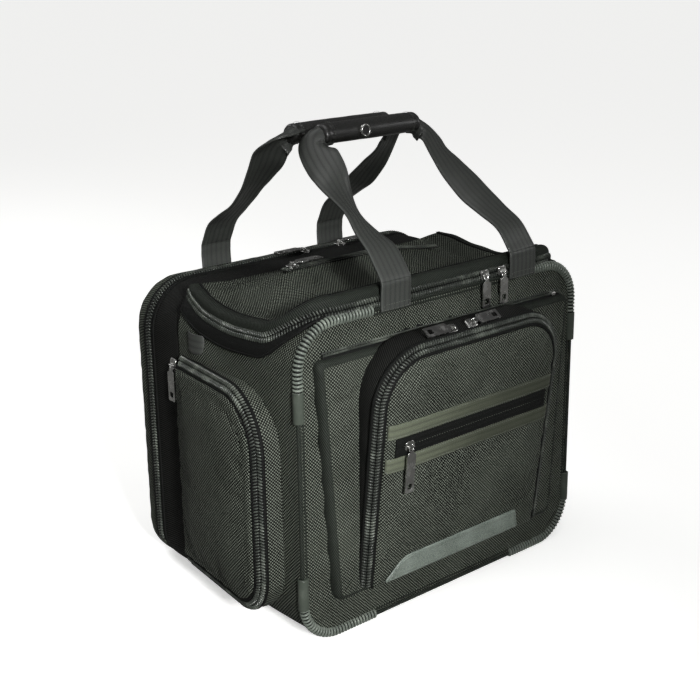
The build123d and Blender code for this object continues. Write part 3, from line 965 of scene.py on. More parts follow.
@dataclass
class Pad:
    """A padded panel: an outline of four rounded corners, a rolled edge and a crowned face.

    Attributes:
        corners: Four corners (across, up), anticlockwise from the lower left.
        radii: Their radii.
        roll: Width of the rolled edge.
        depth: Height of the face over the edge.
        crown: Extra height of the face's middle.
        square: How square the rolled edge is; 2 is round.
        pucker: Height of the ripples along the seam.
        rows: Points up the face.
        cols: Points across the face.
        seed: Seed of the unevenness.
    """

    corners: Sequence[tuple[float, float]]
    radii: Sequence[float]
    roll: float
    depth: float
    crown: float
    square: float = 2.0
    pucker: float = 0.0004
    rows: int = 60
    cols: int = 60
    seed: int = 1

    def sides(self, inset: float) -> list[Array]:
        """The outline moved inwards, cut at its corners' middles: foot, right, head and left.

        A corner moves along its bisector by the inset over the sine of half its angle, and its
        radius shrinks by the inset.
        """
        points = np.asarray(self.corners, float)
        back, ahead = unit(np.roll(points, 1, 0) - points), unit(np.roll(points, -1, 0) - points)
        half = np.arccos(np.clip((back * ahead).sum(1), -1, 1)) / 2
        moved = points + unit(back + ahead) * (inset / np.sin(half))[:, None]
        arcs = [arc_at(moved[i - 1], moved[i], moved[(i + 1) % 4], max(r - inset, 1e-5), 1e-9 + 1 * MM)
                for i, r in enumerate(self.radii)]
        arcs = [resample(arc, np.linspace(0, 1, 21)) for arc in arcs]
        counts = (self.cols, self.rows, self.cols, self.rows)
        return [resample(np.concatenate([arcs[i][10:], arcs[(i + 1) % 4][:11]]), graded(count, 0.35))
                for i, count in enumerate(counts)]

    def ring(self, inset: float = 0.0) -> Array:
        """The outline moved inwards, as one anticlockwise loop without its last point."""
        return np.concatenate([side[:-1] for side in self.sides(inset)])

    def run(self, first: int, count: int, inset: float = 0.0, step: float = 1 * MM) -> Array:
        """Some of the outline's sides in turn, as one anticlockwise line from corner to corner."""
        sides = self.sides(inset)
        parts = [sides[(first + i) % 4] for i in range(count)]
        return even(np.concatenate([parts[0][:1], *[part[1:] for part in parts]]), step)

    def inset(self, plan: Array) -> Array:
        """Distance from the outline, measured to a dense loop of its points."""
        loop = even(np.concatenate([self.ring(), self.ring()[:1]]), 2 * MM)
        flat = plan.reshape(-1, 1, 2)
        return np.sqrt(((flat - loop[None]) ** 2).sum(-1)).min(1).reshape(plan.shape[:-1])

    def height(self, plan: Array) -> Array:
        """Height of the face inside its rolled edge: depth plus a crown that rises like a dome."""
        deep = np.clip((self.inset(plan) - self.roll) / (0.09 * self.size()), 0, 1)
        return self.depth + self.crown * (1 - (1 - deep) ** 2)

    def size(self) -> float:
        """Half of the outline's girth."""
        return float(travel(self.ring())[-1]) / 2

    def face(self, place: Place) -> Grid:
        """The crowned face inside the rolled edge."""
        foot, right, head, left = self.sides(self.roll)
        plan = coons(foot, head[::-1], left[::-1], right)
        edge = np.ones(plan.shape[:2], bool)
        edge[1:-1, 1:-1] = False
        lift = np.where(edge, self.depth, self.height(plan))
        return Grid(place.at(plan, lift), plan)

    def edge(self, place: Place, steps: int = 9) -> Grid:
        """The rolled edge: a quarter of a superellipse, carried round the outline.

        Its cloth coordinates unroll it, so the weave runs on from the face.
        """
        angle = np.linspace(0, np.pi / 2, steps)
        power = 2 / self.square
        inset = self.roll * (1 - np.cos(angle) ** power)
        lift = self.depth * np.sin(angle) ** power
        reach = np.concatenate([[0], np.cumsum(np.hypot(np.diff(inset), np.diff(lift)))])
        rings = np.stack([self.ring(i) for i in inset])
        flat = np.stack([self.ring(self.roll - (reach[-1] - r)) for r in reach])
        flat = np.concatenate([flat, flat[:, :1]], axis=1)
        wave = ripple(travel(rings[0]), self.seed, 0.022) * self.pucker
        lifts = lift[:, None] + wave[None] * np.sin(angle * 2)[:, None] * 1.5
        return Grid(place.at(rings, lifts), flat, wrap_cols=True)


def half_zip(path: Path, way: int, tape: float = 9 * MM, coil: float = 5.8 * MM, pitch: float = 3.1 * MM,
             lift: float = 1.0 * MM) -> list[Grid]:
    """Half of a coil zip: a woven tape and the row of coil turns along its edge.

    Args:
        path: The middle of the closed zip.
        way: 1 for the half on the path's side, -1 for the other.
        tape: Width of the tape.
        coil: Width of the row of turns.
        pitch: Distance from turn to turn.
        lift: Height of the turns' middle over the tape.

    Returns:
        Grids with finish 0 for the tape and 1 for the coil.
    """
    ribbon = tube(path.shifted(side=way * (tape / 2 + 0.1 * MM)), strap_profile(tape, 0.9 * MM))
    turn = bead(0.54 * pitch, coil, 3.2 * MM)
    row = path.even(1.5 * MM).shifted(side=way * coil * 0.47, out=lift)
    return ribbon + repeated(row, pitch, turn, way * 0.30, 0.5 + 0.25 * way, finish=1)


def stitches(path: Path, step: float = 3.2 * MM, length: float = 2.3 * MM, finish: int = 0) -> list[Grid]:
    """A line of sewing: short rounded threads, one after another."""
    thread = bead(length, 0.6 * MM, 0.55 * MM, rows=4, cols=5)
    return repeated(path.even(1.5 * MM).shifted(out=0.15 * MM), step, thread, finish=finish)


def mirrored(grids: Sequence[Grid]) -> list[Grid]:
    """The same surfaces on the other side of the bag, still facing outwards."""
    flip = np.array([-1.0, 1.0, 1.0])
    return [Grid(g.points * flip, g.uv, g.wrap_rows, g.wrap_cols, g.finish).flipped() for g in grids]


# ---- The carcase ----

@dataclass
class Mouth:
    """The rim of the bag: straight along the front, round at its front corners, low at the sides.

    Sizes are in metres. The carcase is a tube with rounded edges, seen from the front, and the rim
    is the line where the tube is cut open.
    """

    half: float = 0.190
    top: float = 0.318
    corner: float = 0.045
    front: float = -0.133
    seam: float = 0.050
    bend: float = 0.055
    heights: Sequence[tuple[float, float]] = ((-0.078, 0.2916), (-0.035, 0.2898), (0.008, 0.294),
                                              (0.036, 0.3015), (0.050, 0.3065))

    def rows(self) -> Array:
        """Places from front to rear: the sine of even angles round the bend, then even steps."""
        turn = self.front + self.bend
        arc = turn - self.bend * np.sin(np.linspace(np.pi / 2, 0, 40))
        return np.concatenate([arc, np.linspace(turn, self.seam, 64)[1:]])

    def right(self, y: Array) -> tuple[Array, Array]:
        """How far out and how high the right-hand rim is: a quarter circle, then a set height."""
        turn = self.front + self.bend
        share = np.clip((turn - y) / self.bend, 0, 1)
        plan = self.half - 0.004 - self.bend + self.bend * np.sqrt(1 - share**2)
        curve = spline(self.heights)
        z = np.interp(y, curve[:, 0], curve[:, 1])
        flat = self.half - self.corner
        lean = np.sqrt(np.maximum(self.corner**2 - (z - self.top + self.corner) ** 2, 0)) + flat
        x = np.where(y < turn, plan, lean)
        fall = np.maximum(self.corner**2 - np.maximum(x - flat, 0)**2, 0)
        round_z = self.top - self.corner + np.sqrt(fall)
        return x, np.where(y < turn, round_z, z)

    def girth(self, x: Array, z: Array) -> Array:
        """Distance round the tube from the middle of its foot to a point of the upper corner."""
        flat = self.half - self.corner
        start = flat + self.corner * np.pi / 2 + self.top - 2 * self.corner
        angle = np.arctan2(z - self.top + self.corner, np.maximum(x - flat, 0))
        return start + self.corner * angle + np.maximum(flat - x, 0)

    def tube(self, y: Array, s: Array) -> Array:
        """Points of the tube at depths y and distances s round it, negative to the left."""
        corners = [(0, 0), (self.half, 0), (self.half, self.top), (0, self.top)]
        line = rounded(corners, [0, self.corner, self.corner, 0])
        along = travel(line)
        x = np.sign(s) * np.interp(np.abs(s), along, line[:, 0])
        return np.stack([x, np.broadcast_to(y, s.shape), np.interp(np.abs(s), along, line[:, 1])], axis=-1)

    def path(self, rise: float = 0.0, lean: float = 0.2) -> Path:
        """The rim from the left rear, round the front, to the right rear, raised and facing outwards."""
        y = self.rows()
        x, z = self.right(y)
        right = np.stack([x, y, z + rise], axis=1)
        left = right[::-1] * (-1, 1, 1)
        across = np.linspace(left[-1], right[0], 120)[1:-1]
        points = np.concatenate([left, across, right])
        way = unit(np.gradient(points[:, :2], axis=0))
        out = np.stack([way[:, 1], -way[:, 0], np.full(len(way), np.tan(lean))], axis=1)
        return Path(points, unit(out)).even(1.5 * MM)


@dataclass
class Carcase:
    """The open box of the main compartment with its front panel, welt, piping, guards and loops."""

    finishes: Finishes
    mouth: Mouth = field(default_factory=Mouth)
    front: Pad = field(default_factory=lambda: Pad(
        [(-0.190, 0), (0.190, 0), (0.190, 0.318), (-0.190, 0.318)], [0.045] * 4, 0.010, 0.0022, 0.0030,
        rows=70, cols=80, seed=3))
    front_place: Place = field(default_factory=lambda: Place(
        np.array([0, -0.1325, 0]), X_AXIS, Z_AXIS, -Y_AXIS))
    welt: float = 0.014
    guard_edge: float = 0.097
    guard_low: float = 0.072
    guard_high: float = 0.227
    rib: float = 0.0038

    def shell(self) -> None:
        """Sides and base: the tube up to the welt, sagging a little between its seams."""
        y = self.mouth.rows()
        rim = self.mouth.girth(*self.mouth.right(y))
        share = np.linspace(-1, 1, 240)
        s = (rim - self.welt + 0.002)[:, None] * share[None]
        grid = Grid(self.mouth.tube(y[:, None], s), np.stack([np.broadcast_to(y[:, None], s.shape), s], -1))
        grid = grid.flipped()
        depth = np.clip((y - y[0]) / 0.03, 0, 1) * np.clip((y[-1] - y) / 0.012, 0, 1)
        height = grid.points[..., 2]
        side = smooth((height - 0.02) / 0.05) * smooth((0.30 - height) / 0.03)
        folds = 0.0024 * drift(grid.points * (0.6, 1, 1.6), 5, 0.07) * smooth((height - 0.235) / 0.03)
        calm = 0.0007 * drift(grid.points, 8, 0.09)
        hem = smooth((1 - np.abs(share)) / 0.06)[None]
        grid = grid.pushed(smooth(depth)[:, None] * hem * (side * (0.0022 + folds) + calm))
        piece = make_piece("main_shell", [grid], self.finishes.lined)
        thicken(piece, 3.5 * MM)
        piece.modifiers["Solidify"].material_offset = 1
        settle(piece, "carcase", ["base_panel", "left_side_panel", "right_side_panel"])

    def welts(self) -> None:
        """The smooth tape between the shell and the zip, with a thin cord along its foot."""
        y = self.mouth.rows()
        rim = self.mouth.girth(*self.mouth.right(y))
        across = np.linspace(0, 1, 9)[None]
        s = rim[:, None] - self.welt * (1 - across)
        points = self.mouth.tube(y[:, None], s)
        strip = Grid(points, np.stack([s, np.broadcast_to(y[:, None], s.shape)], -1))
        hollow = -0.0024 + 0.0012 * across - 0.0008 * np.sin(np.pi * across) * np.ones_like(s)
        strip = strip.pushed(hollow).flipped()
        foot = Path(strip.points[:, -1], strip.normals()[:, -1]).shifted(out=-0.0006)
        cord = tube(Path(foot.points[3:], foot.out[3:]).even(2 * MM), ring(1.3 * MM), finish=0)
        grids = [strip, *cord]
        sew("mouth_welts", grids + mirrored(grids), [self.finishes.tape],
            "carcase", ())

    def zip(self) -> None:
        """The half of the lid's zip that is sewn to the rim."""
        grids = half_zip(self.mouth.path(0.0042), 1, tape=ZIP_TAPE)
        sew("mouth_zip_half", grids, self.finishes.zip,
            "carcase", ["mouth_zip_chain"])

    def front_panel(self) -> None:
        """The padded front, held by its seam and behind the slip pocket."""
        face = self.front.face(self.front_place)
        plan = face.uv
        held = (self.front.inset(plan) < 0.013) | ((np.abs(plan[..., 0]) < 0.15) & (plan[..., 1] < 0.27))
        face = drape(face, held, pressure=3, slack=0.012, cap=0.003, seed=4)
        sew("front_face", [face, self.front.edge(self.front_place)], self.finishes.lined,
            "carcase", ["front_panel"], wall=3 * MM, lined=True)

    def guarded(self, plan: Array) -> Array:
        """True where a corner guard covers the seam."""
        x, z = np.abs(plan[:, 0]), plan[:, 1]
        return (x > self.guard_edge) & ((z < self.guard_low) | (z > self.guard_high))

    def piping(self) -> None:
        """The corded seam between the guards, with a second cord beside it."""
        grids = []
        for side in range(4):
            for inset, radius in ((0.0022, 0.0022), (0.0072, 0.0013)):
                line = self.front.run(side, 1, inset)
                line = line[~self.guarded(line)]
                grids += tube(self.front_place.line(line, 0.0016).even(2 * MM), ring(radius))
        sew("front_piping_cords", grids, [self.finishes.trim],
            "carcase", ["front_piping"])

    def guards(self) -> None:
        """Guards round the corners: a near-black core, painted shade where it shows between the ribs set
        along it, and a smooth sleeve at one end.
        """
        grids = []
        for corner in range(4):
            line = self.front.run(corner + 2, 4, 0.0030, 0.4 * MM)
            centre = np.array(self.front.corners[corner])
            mine = self.guarded(line) & ((line - 1e-9) * centre + 1e-9 > 0).any(1)
            mine &= np.abs(line - centre).max(1) < 0.12
            path = self.front_place.line(line[mine], 0.0012)
            along = travel(path.points)
            ends = 0.35 + 0.65 * smooth(np.minimum(along, along[-1] - along) / 0.003)
            # The core takes the near-black finish as painted shade where it shows between the ribs.
            grids += tube(path, ring(3.9 * MM, 14, 0.92), finish=2, swell=ends)
            rib = bead(0.74 * self.rib, 10.4 * MM, 9.6 * MM, rows=7, cols=14)
            grids += repeated(path.even(1 * MM), self.rib, rib)
            upright = np.abs(path.points[:, 2] - np.array([0.089, 0.089, 0.241, 0.241])[corner]) < 0.016
            upright &= np.abs(path.points[:, 0]) > 0.15
            if corner < 2:
                upright = (path.points[:, 2] > 0.040) & (np.abs(path.points[:, 0]) > 0.15)
            sleeve = Path(path.points[upright], path.out[upright]).even(1 * MM)
            grids += tube(sleeve, ring(5.5 * MM, 18, 0.94), finish=1)
        sew("corner_guard_tubes", grids, [self.finishes.guard, self.finishes.sleeve, self.finishes.groove_shade],
            "carcase", ["corner_guards"])

    def loops(self) -> None:
        """A webbing loop above each side pocket: a flat strap that stands off in the middle."""
        lowest, highest = low("side_loops"), high("side_loops")
        y = np.linspace(lowest[1], highest[1], 30)
        z = (lowest[2] + highest[2]) / 2 + 0.002
        arch = 0.0045 * np.sin(np.pi * (y - y[0]) / (y[-1] - y[0])) ** 0.5
        points = np.stack([-(self.mouth.half + 0.0005 + arch), y, np.full_like(y, z)], axis=1)
        path = Path(points, -X_AXIS).even(1 * MM)
        grids = tube(path, strap_profile(20 * MM, 1.8 * MM))
        sew("side_loop_straps", grids + mirrored(grids), [self.finishes.webbing],
            "carcase", ["side_loops"])

    def divider(self) -> None:
        """The padded wall between the two compartments."""
        pad = Pad([(-0.1878, 0.0022), (0.1878, 0.0022), (0.1878, 0.3145), (-0.1878, 0.3145)],
                  [0.043, 0.043, 0.044, 0.044], 0.006, 0.0016, 0.001, rows=40, cols=40)
        place = Place(np.array([0, 0.0485, 0]), -X_AXIS, Z_AXIS, Y_AXIS)
        sew("divider_wall", [pad.face(place), pad.edge(place)], [self.finishes.lining],
            "carcase", ["divider_panel"], wall=3 * MM)

    def board(self) -> None:
        """The stiff base board keeps its shape and takes its finish."""
        board = frame["nodes"]["base_board"]
        for slot in board.material_slots:
            slot.material = self.finishes.board
        if not board.material_slots:
            board.data.materials.append(self.finishes.board)

    def build(self) -> None:
        """Make every piece."""
        self.shell()
        self.welts()
        self.zip()
        self.front_panel()
        self.piping()
        self.guards()
        self.loops()
        self.divider()
        self.board()


# ---- The lid ----

@dataclass
class Lid:
    """The zipped lid: a stiffened border band round a soft roof that sags between its seams."""

    finishes: Finishes
    mouth: Mouth = field(default_factory=Mouth)
    rise: float = 0.0082
    ridge: float = 0.0292
    rear: float = 0.3155
    band: Sequence[tuple[float, float]] = ((0, 0), (0.0002, 0.003), (0.001, 0.006), (0.003, 0.0085),
                                           (0.006, 0.0098), (0.0095, 0.0096), (0.012, 0.0080))

    def droop(self, x: Array) -> Array:
        """How far the ridge falls: a little to the left of its middle, more to the right."""
        return 0.010 * smooth((x - 0.02) / 0.10) + 0.006 * smooth((-x - 0.10) / 0.06)

    def border(self) -> tuple[Grid, Array]:
        """The band: a curved profile of (inwards, up) carried round the rim.

        Returns:
            The band, and its inner line.
        """
        path = self.mouth.path(self.rise, 0.0)
        profile = spline(self.band, 16)
        rear = smooth((0.056 - path.points[:, 1]) / 0.03)
        rows = [path.points - inward * path.out + up * (0.45 + 0.55 * rear)[:, None] * Z_AXIS
                for inward, up in profile]
        grid = measured(np.stack(rows))
        along = travel(path.points)
        wave = 0.0005 * ripple(along, 6, 0.05) * np.sin(np.linspace(0, np.pi, 16))[:, None]
        return grid.pushed(wave), rows[-1]

    def roof(self) -> None:
        """The roof: a surface between the band and the rear seam, high under its zip and low round it."""
        border, inner = self.border()
        cut = [int(np.argmin(np.linalg.norm(inner[:, :2] - (side * 0.160, -0.1075), axis=1)))
               for side in (-1, 1)]
        left = resample(inner[:cut[0] + 1], graded(60, 0.4))[::-1]
        front = resample(inner[cut[0]:cut[1] + 1], graded(100, 0.4))
        right = resample(inner[cut[1]:], graded(60, 0.4))
        t = np.linspace(0, 1, 100)[:, None]
        rear = left[-1] * (1 - t) + right[-1] * t
        rear[:, 2] += (self.rear - rear[0, 2]) * smooth(np.minimum(t, 1 - t)[:, 0] / 0.12)
        plan = coons(front, rear, left, right)
        u, v = np.meshgrid(np.linspace(0, 1, 100), np.linspace(0, 1, 60))
        x, y = plan[..., 0], plan[..., 1]
        free = smooth(np.minimum(np.minimum(u, 1 - u) * 3.4, np.minimum(v * 3.0, (1 - v) * 5.0)))
        hollow = 0.010 * bump(y, -0.075, 0.038) + 0.006 * bump(x, -0.150, 0.04) + 0.006 * bump(x, 0.160, 0.04)
        height = 0.3300 - hollow * smooth(np.abs(y + 0.006) / 0.05)
        height = height - 0.004 * smooth((y - 0.01) / 0.04) - self.droop(x)
        plan[..., 2] = plan[..., 2] * (1 - free) + height * free
        roof = Grid(plan, plan[..., :2].copy())
        held = (free < 0.02) | ((np.abs(y + 0.006) < 0.008) & (np.abs(x) < 0.112))
        roof = drape(roof, held, pressure=-1.5, weight=0.4, slack=0.02, cap=0.006, seed=9)
        roof.finish = 1
        sew("lid_roof", [border, roof], [self.finishes.trim, self.finishes.ballistic, self.finishes.lining],
            "lid", ["lid_panel"], wall=2 * MM)
        seam = Path(inner, Z_AXIS).even(2 * MM)
        cords = tube(seam.shifted(out=0.0004), ring(1.3 * MM))
        sew("lid_band_seam", cords, [self.finishes.tape], "lid", ())

    def zips(self) -> None:
        """The lid's half of the mouth zip, and the closed zip of the pocket under its roof."""
        grids = half_zip(self.mouth.path(0.0042), -1, tape=5.5 * MM)
        sew("lid_zip_half", grids, self.finishes.zip,
            "lid", ["lid_zip_chain"])
        first, last = low("lid_pocket_zip"), high("lid_pocket_zip")
        middle = (first + last) / 2
        x = np.linspace(first[0], last[0], 60)
        line = np.stack([x, np.full_like(x, middle[1]), 0.3302 - self.droop(x)], axis=1)
        path = Path(line, Z_AXIS)
        grids = half_zip(path, 1, 6 * MM, 2.4 * MM, 1.7 * MM) + half_zip(path, -1, 6 * MM, 2.4 * MM, 1.7 * MM)
        for side in (-1, 1):
            grids += stitches(path.shifted(side=side * 4.6 * MM, out=0.4 * MM), finish=2)
        sew("lid_pocket_zip_closed", grids, [self.finishes.tape, self.finishes.coil, self.finishes.thread],
            "lid", ["lid_pocket_zip"])

    def build(self) -> None:
        """Make every piece."""
        self.roof()
        self.zips()


# ---- The rear compartment ----

@dataclass
class RearCompartment:
    """The clamshell at the rear: a cloth gusset, its zip and the dished door with a fixed foot."""

    finishes: Finishes
    seam: float = 0.050
    zip_y: float = 0.1017
    hinge: float = 0.0302
    door: Pad = field(default_factory=lambda: Pad(
        [(-0.190, 0), (0.190, 0), (0.190, 0.312), (-0.190, 0.312)], [0.045, 0.045, 0.050, 0.050],
        0.013, 0.0270, 0.0018, square=3.2, rows=60, cols=70, seed=12))

    def gusset(self) -> None:
        """The ring of cloth: the outline carried to the rear, pinched at its seams."""
        depth = np.array([0.0, 0.0008, 0.0025, 0.006, 0.014, 0.026, 0.038, 0.046, 0.051, 0.0535, 0.055])
        pinch = np.array([0.0035, 0.0012, 0.0001, -0.0006, -0.001, -0.0012, -0.001, -0.0006, 0, 0.0004,
                          0.0008])
        rings, flats = [], []
        for y, inset in zip(depth, pinch):
            plan = self.door.ring(inset)
            along = travel(np.concatenate([plan, plan[:1]]))
            place = Place(np.array([0, self.seam + y, 0]), -X_AXIS, Z_AXIS, Y_AXIS)
            rings.append(place.at(plan))
            flats.append(np.stack([along, np.full_like(along, y)], axis=1))
        grid = Grid(np.stack(rings), np.stack(flats), wrap_cols=True)
        wave = 0.0006 * drift(grid.points, 21, 0.06) * np.sin(np.pi * depth / depth[-1])[:, None]
        middle = grid.points.mean((0, 1))
        outward = unit((grid.points - middle) * (1, 0, 1))
        grid.points = grid.points + wave[..., None] * outward
        piece = make_piece("rear_gusset_ring", [grid], [self.finishes.lining])
        thicken(piece, 3 * MM)
        subdivide(piece, 1)
        settle(piece, "carcase", ["rear_gusset"])

    def shell(self) -> None:
        """The dished door above the hinge line, and the fixed foot below it."""
        place = Place(np.array([0, self.zip_y + 0.0035, 0]), -X_AXIS, Z_AXIS, Y_AXIS)
        face = self.door.face(place)
        held = (self.door.inset(face.uv) < 0.018) | (face.uv[..., 1] < 0.045)
        face = drape(face, held, pressure=2, slack=0.008, cap=0.003, seed=13)
        for name, body, above in (("rear_door_shell", "rear_door", True), ("rear_foot", "carcase", False)):
            piece = make_piece(name, [face, self.door.edge(place, 14)],
                               self.finishes.lined, weld=True)
            work = bmesh.new()
            work.from_mesh(piece.data)
            gap = 0.0002 if above else -0.0002
            bmesh.ops.bisect_plane(work, geom=work.verts[:] + work.edges[:] + work.faces[:],
                                   plane_co=(0, 0, self.hinge + gap), plane_no=(0, 0, 1),
                                   clear_inner=above, clear_outer=not above)
            work.to_mesh(piece.data)
            work.free()
            thicken(piece, 3 * MM)
            piece.modifiers["Solidify"].material_offset = 1
            settle(piece, body, ["rear_panel"] if above else [])

    def zips(self) -> None:
        """The two halves of the zip round the compartment, each with a cord beside it."""
        line = self.door.run(1, 3, -0.0012)
        line = line[line[:, 1] > self.hinge + 0.001]
        place = Place(np.array([0, self.zip_y, 0]), -X_AXIS, Z_AXIS, Y_AXIS)
        path = place.rim(line)
        for name, way, body, node in (("rear_zip_fixed_half", 1, "carcase", "rear_zip_chain"),
                                      ("rear_zip_door_half", -1, "rear_door", "rear_panel_zip_chain")):
            grids = half_zip(path, way, tape=7.5 * MM, coil=4.4 * MM)
            grids += tube(path.even(2 * MM).shifted(side=way * 7.6 * MM, out=-0.2 * MM), ring(1.2 * MM))
            sew(name, grids, self.finishes.zip, body, [node])

    def build(self) -> None:
        """Make every piece."""
        self.gusset()
        self.shell()
        self.zips()


# ---- The pockets ----

def gusset(place: Place, plan: Array, depth: Array, bulge: float) -> Grid:
    """A wall of cloth behind a zip: the line carried back by its own depth, bowed outwards.

    Args:
        place: The plane of the door.
        plan: The outline in that plane, anticlockwise.
        depth: How far back the wall goes at each point of the outline.
        bulge: Height of the bow, as a sine over the depth.

    Returns:
        The wall, facing outwards.
    """
    rim = place.rim(plan)
    back = np.linspace(1, 0, 12)[:, None, None]
    bow = bulge * np.sin(np.pi * back) * (1 + 0.5 * ripple(travel(plan), 31, 0.05))[None, :, None]
    points = rim.points[None] - back * depth[None, :, None] * place.out + bow * rim.out[None]
    along = np.broadcast_to(travel(plan)[None, :, None], back.shape[:1] + depth.shape + (1,))
    return Grid(points, np.concatenate([along, back * depth[None, :, None]], axis=2))


@dataclass
class SlipPocket:
    """The padded slip pocket on the front, with bellows at its sides and a zip at its mouth."""

    finishes: Finishes
    pad: Pad = field(default_factory=lambda: Pad(
        [(-0.154, 0.037), (0.154, 0.037), (0.172, 0.283), (-0.172, 0.283)], [0.012, 0.012, 0.008, 0.008],
        0.0065, 0.0105, 0.0012, square=2.6, pucker=0.0006, rows=60, cols=70, seed=17))

    def face(self) -> None:
        """The padded face, held behind the organizer and free round it."""
        place = Place(np.array([0, -0.1342, 0]), X_AXIS, Z_AXIS, -Y_AXIS)
        face = self.pad.face(place)
        inset = self.pad.inset(face.uv)
        held = (inset < 0.009) | ((np.abs(face.uv[..., 0]) < 0.128) & (face.uv[..., 1] < 0.272))
        face = drape(face, held, pressure=3, slack=0.012, cap=0.0025, seed=18)
        edge = self.pad.edge(place, 10)
        edge.finish = 1
        sew("slip_pocket_face", [face, edge], [self.finishes.ballistic, self.finishes.trim],
            "carcase", ["mid_pocket_panel", "mid_pocket_bellows"], wall=2.5 * MM)

    def mouth(self) -> None:
        """The closed zip above the pocket: a tape and a coil on each side of its middle."""
        first, last = low("mid_pocket_zip"), high("mid_pocket_zip")
        x = np.linspace(first[0], last[0], 80)
        line = np.stack([x, np.full_like(x, -0.1372), np.full_like(x, 0.2865)], axis=1)
        path = Path(line, unit(np.array([0, -1.0, 0.5])))
        grids = []
        for way in (-1, 1):
            grids += half_zip(path, way, 5 * MM, 2.6 * MM, 1.8 * MM)
        sew("slip_pocket_zip", grids, self.finishes.zip,
            "carcase", ["mid_pocket_zip"])

    def slider(self) -> None:
        """The small slider at the right: a rounded block with a ridge."""
        first, last = low("mid_pocket_slider"), high("mid_pocket_slider")
        middle, size = (first + last) / 2, last - first
        place = Place(np.array([middle[0], last[1] - 0.0008, middle[2]]), X_AXIS, Z_AXIS, -Y_AXIS)
        grids = [pebble(place, size[0] / 2, size[2] / 2, 0.0014, 0.0012),
                 pebble(place, 0.0028, 0.0020, 0.0022, 0.0034)]
        sew("slip_pocket_slider", grids, [self.finishes.nickel],
            "mid_pocket_slider", ["mid_pocket_slider"])

    def build(self) -> None:
        """Make every piece."""
        self.face()
        self.mouth()
        self.slider()


def pebble(place: Place, across: float, up: float, out: float, lift: float, square: float = 0.45,
           shift: tuple[float, float] = (0.0, 0.0)) -> Grid:
    """A rounded block: a superellipsoid, whose sines and cosines are raised to a power under 1.

    Args:
        place: Where it lies.
        across: Half its size across.
        up: Half its size up.
        out: Half its size outwards.
        lift: Height of its middle.
        square: The power; 1 is an ellipsoid and 0 a box.
        shift: Its middle, across and up.

    Returns:
        The surface; its poles close when it is welded.
    """
    lat = np.linspace(-np.pi / 2, np.pi / 2, 11)[:, None]
    lon = np.linspace(0, 2 * np.pi, 28, endpoint=False)[None]
    bend = lambda value: np.sign(value) * np.abs(value) ** square
    size = np.abs(np.cos(lat)) ** square * np.ones_like(lon)
    size[[0, -1]] = 0
    plan = np.stack([shift[0] + across * size * bend(np.cos(lon)),
                     shift[1] + up * size * bend(np.sin(lon))], axis=-1)
    return measured(place.at(plan, lift + out * bend(np.sin(lat)) * np.ones_like(lon)), wrap_cols=True)


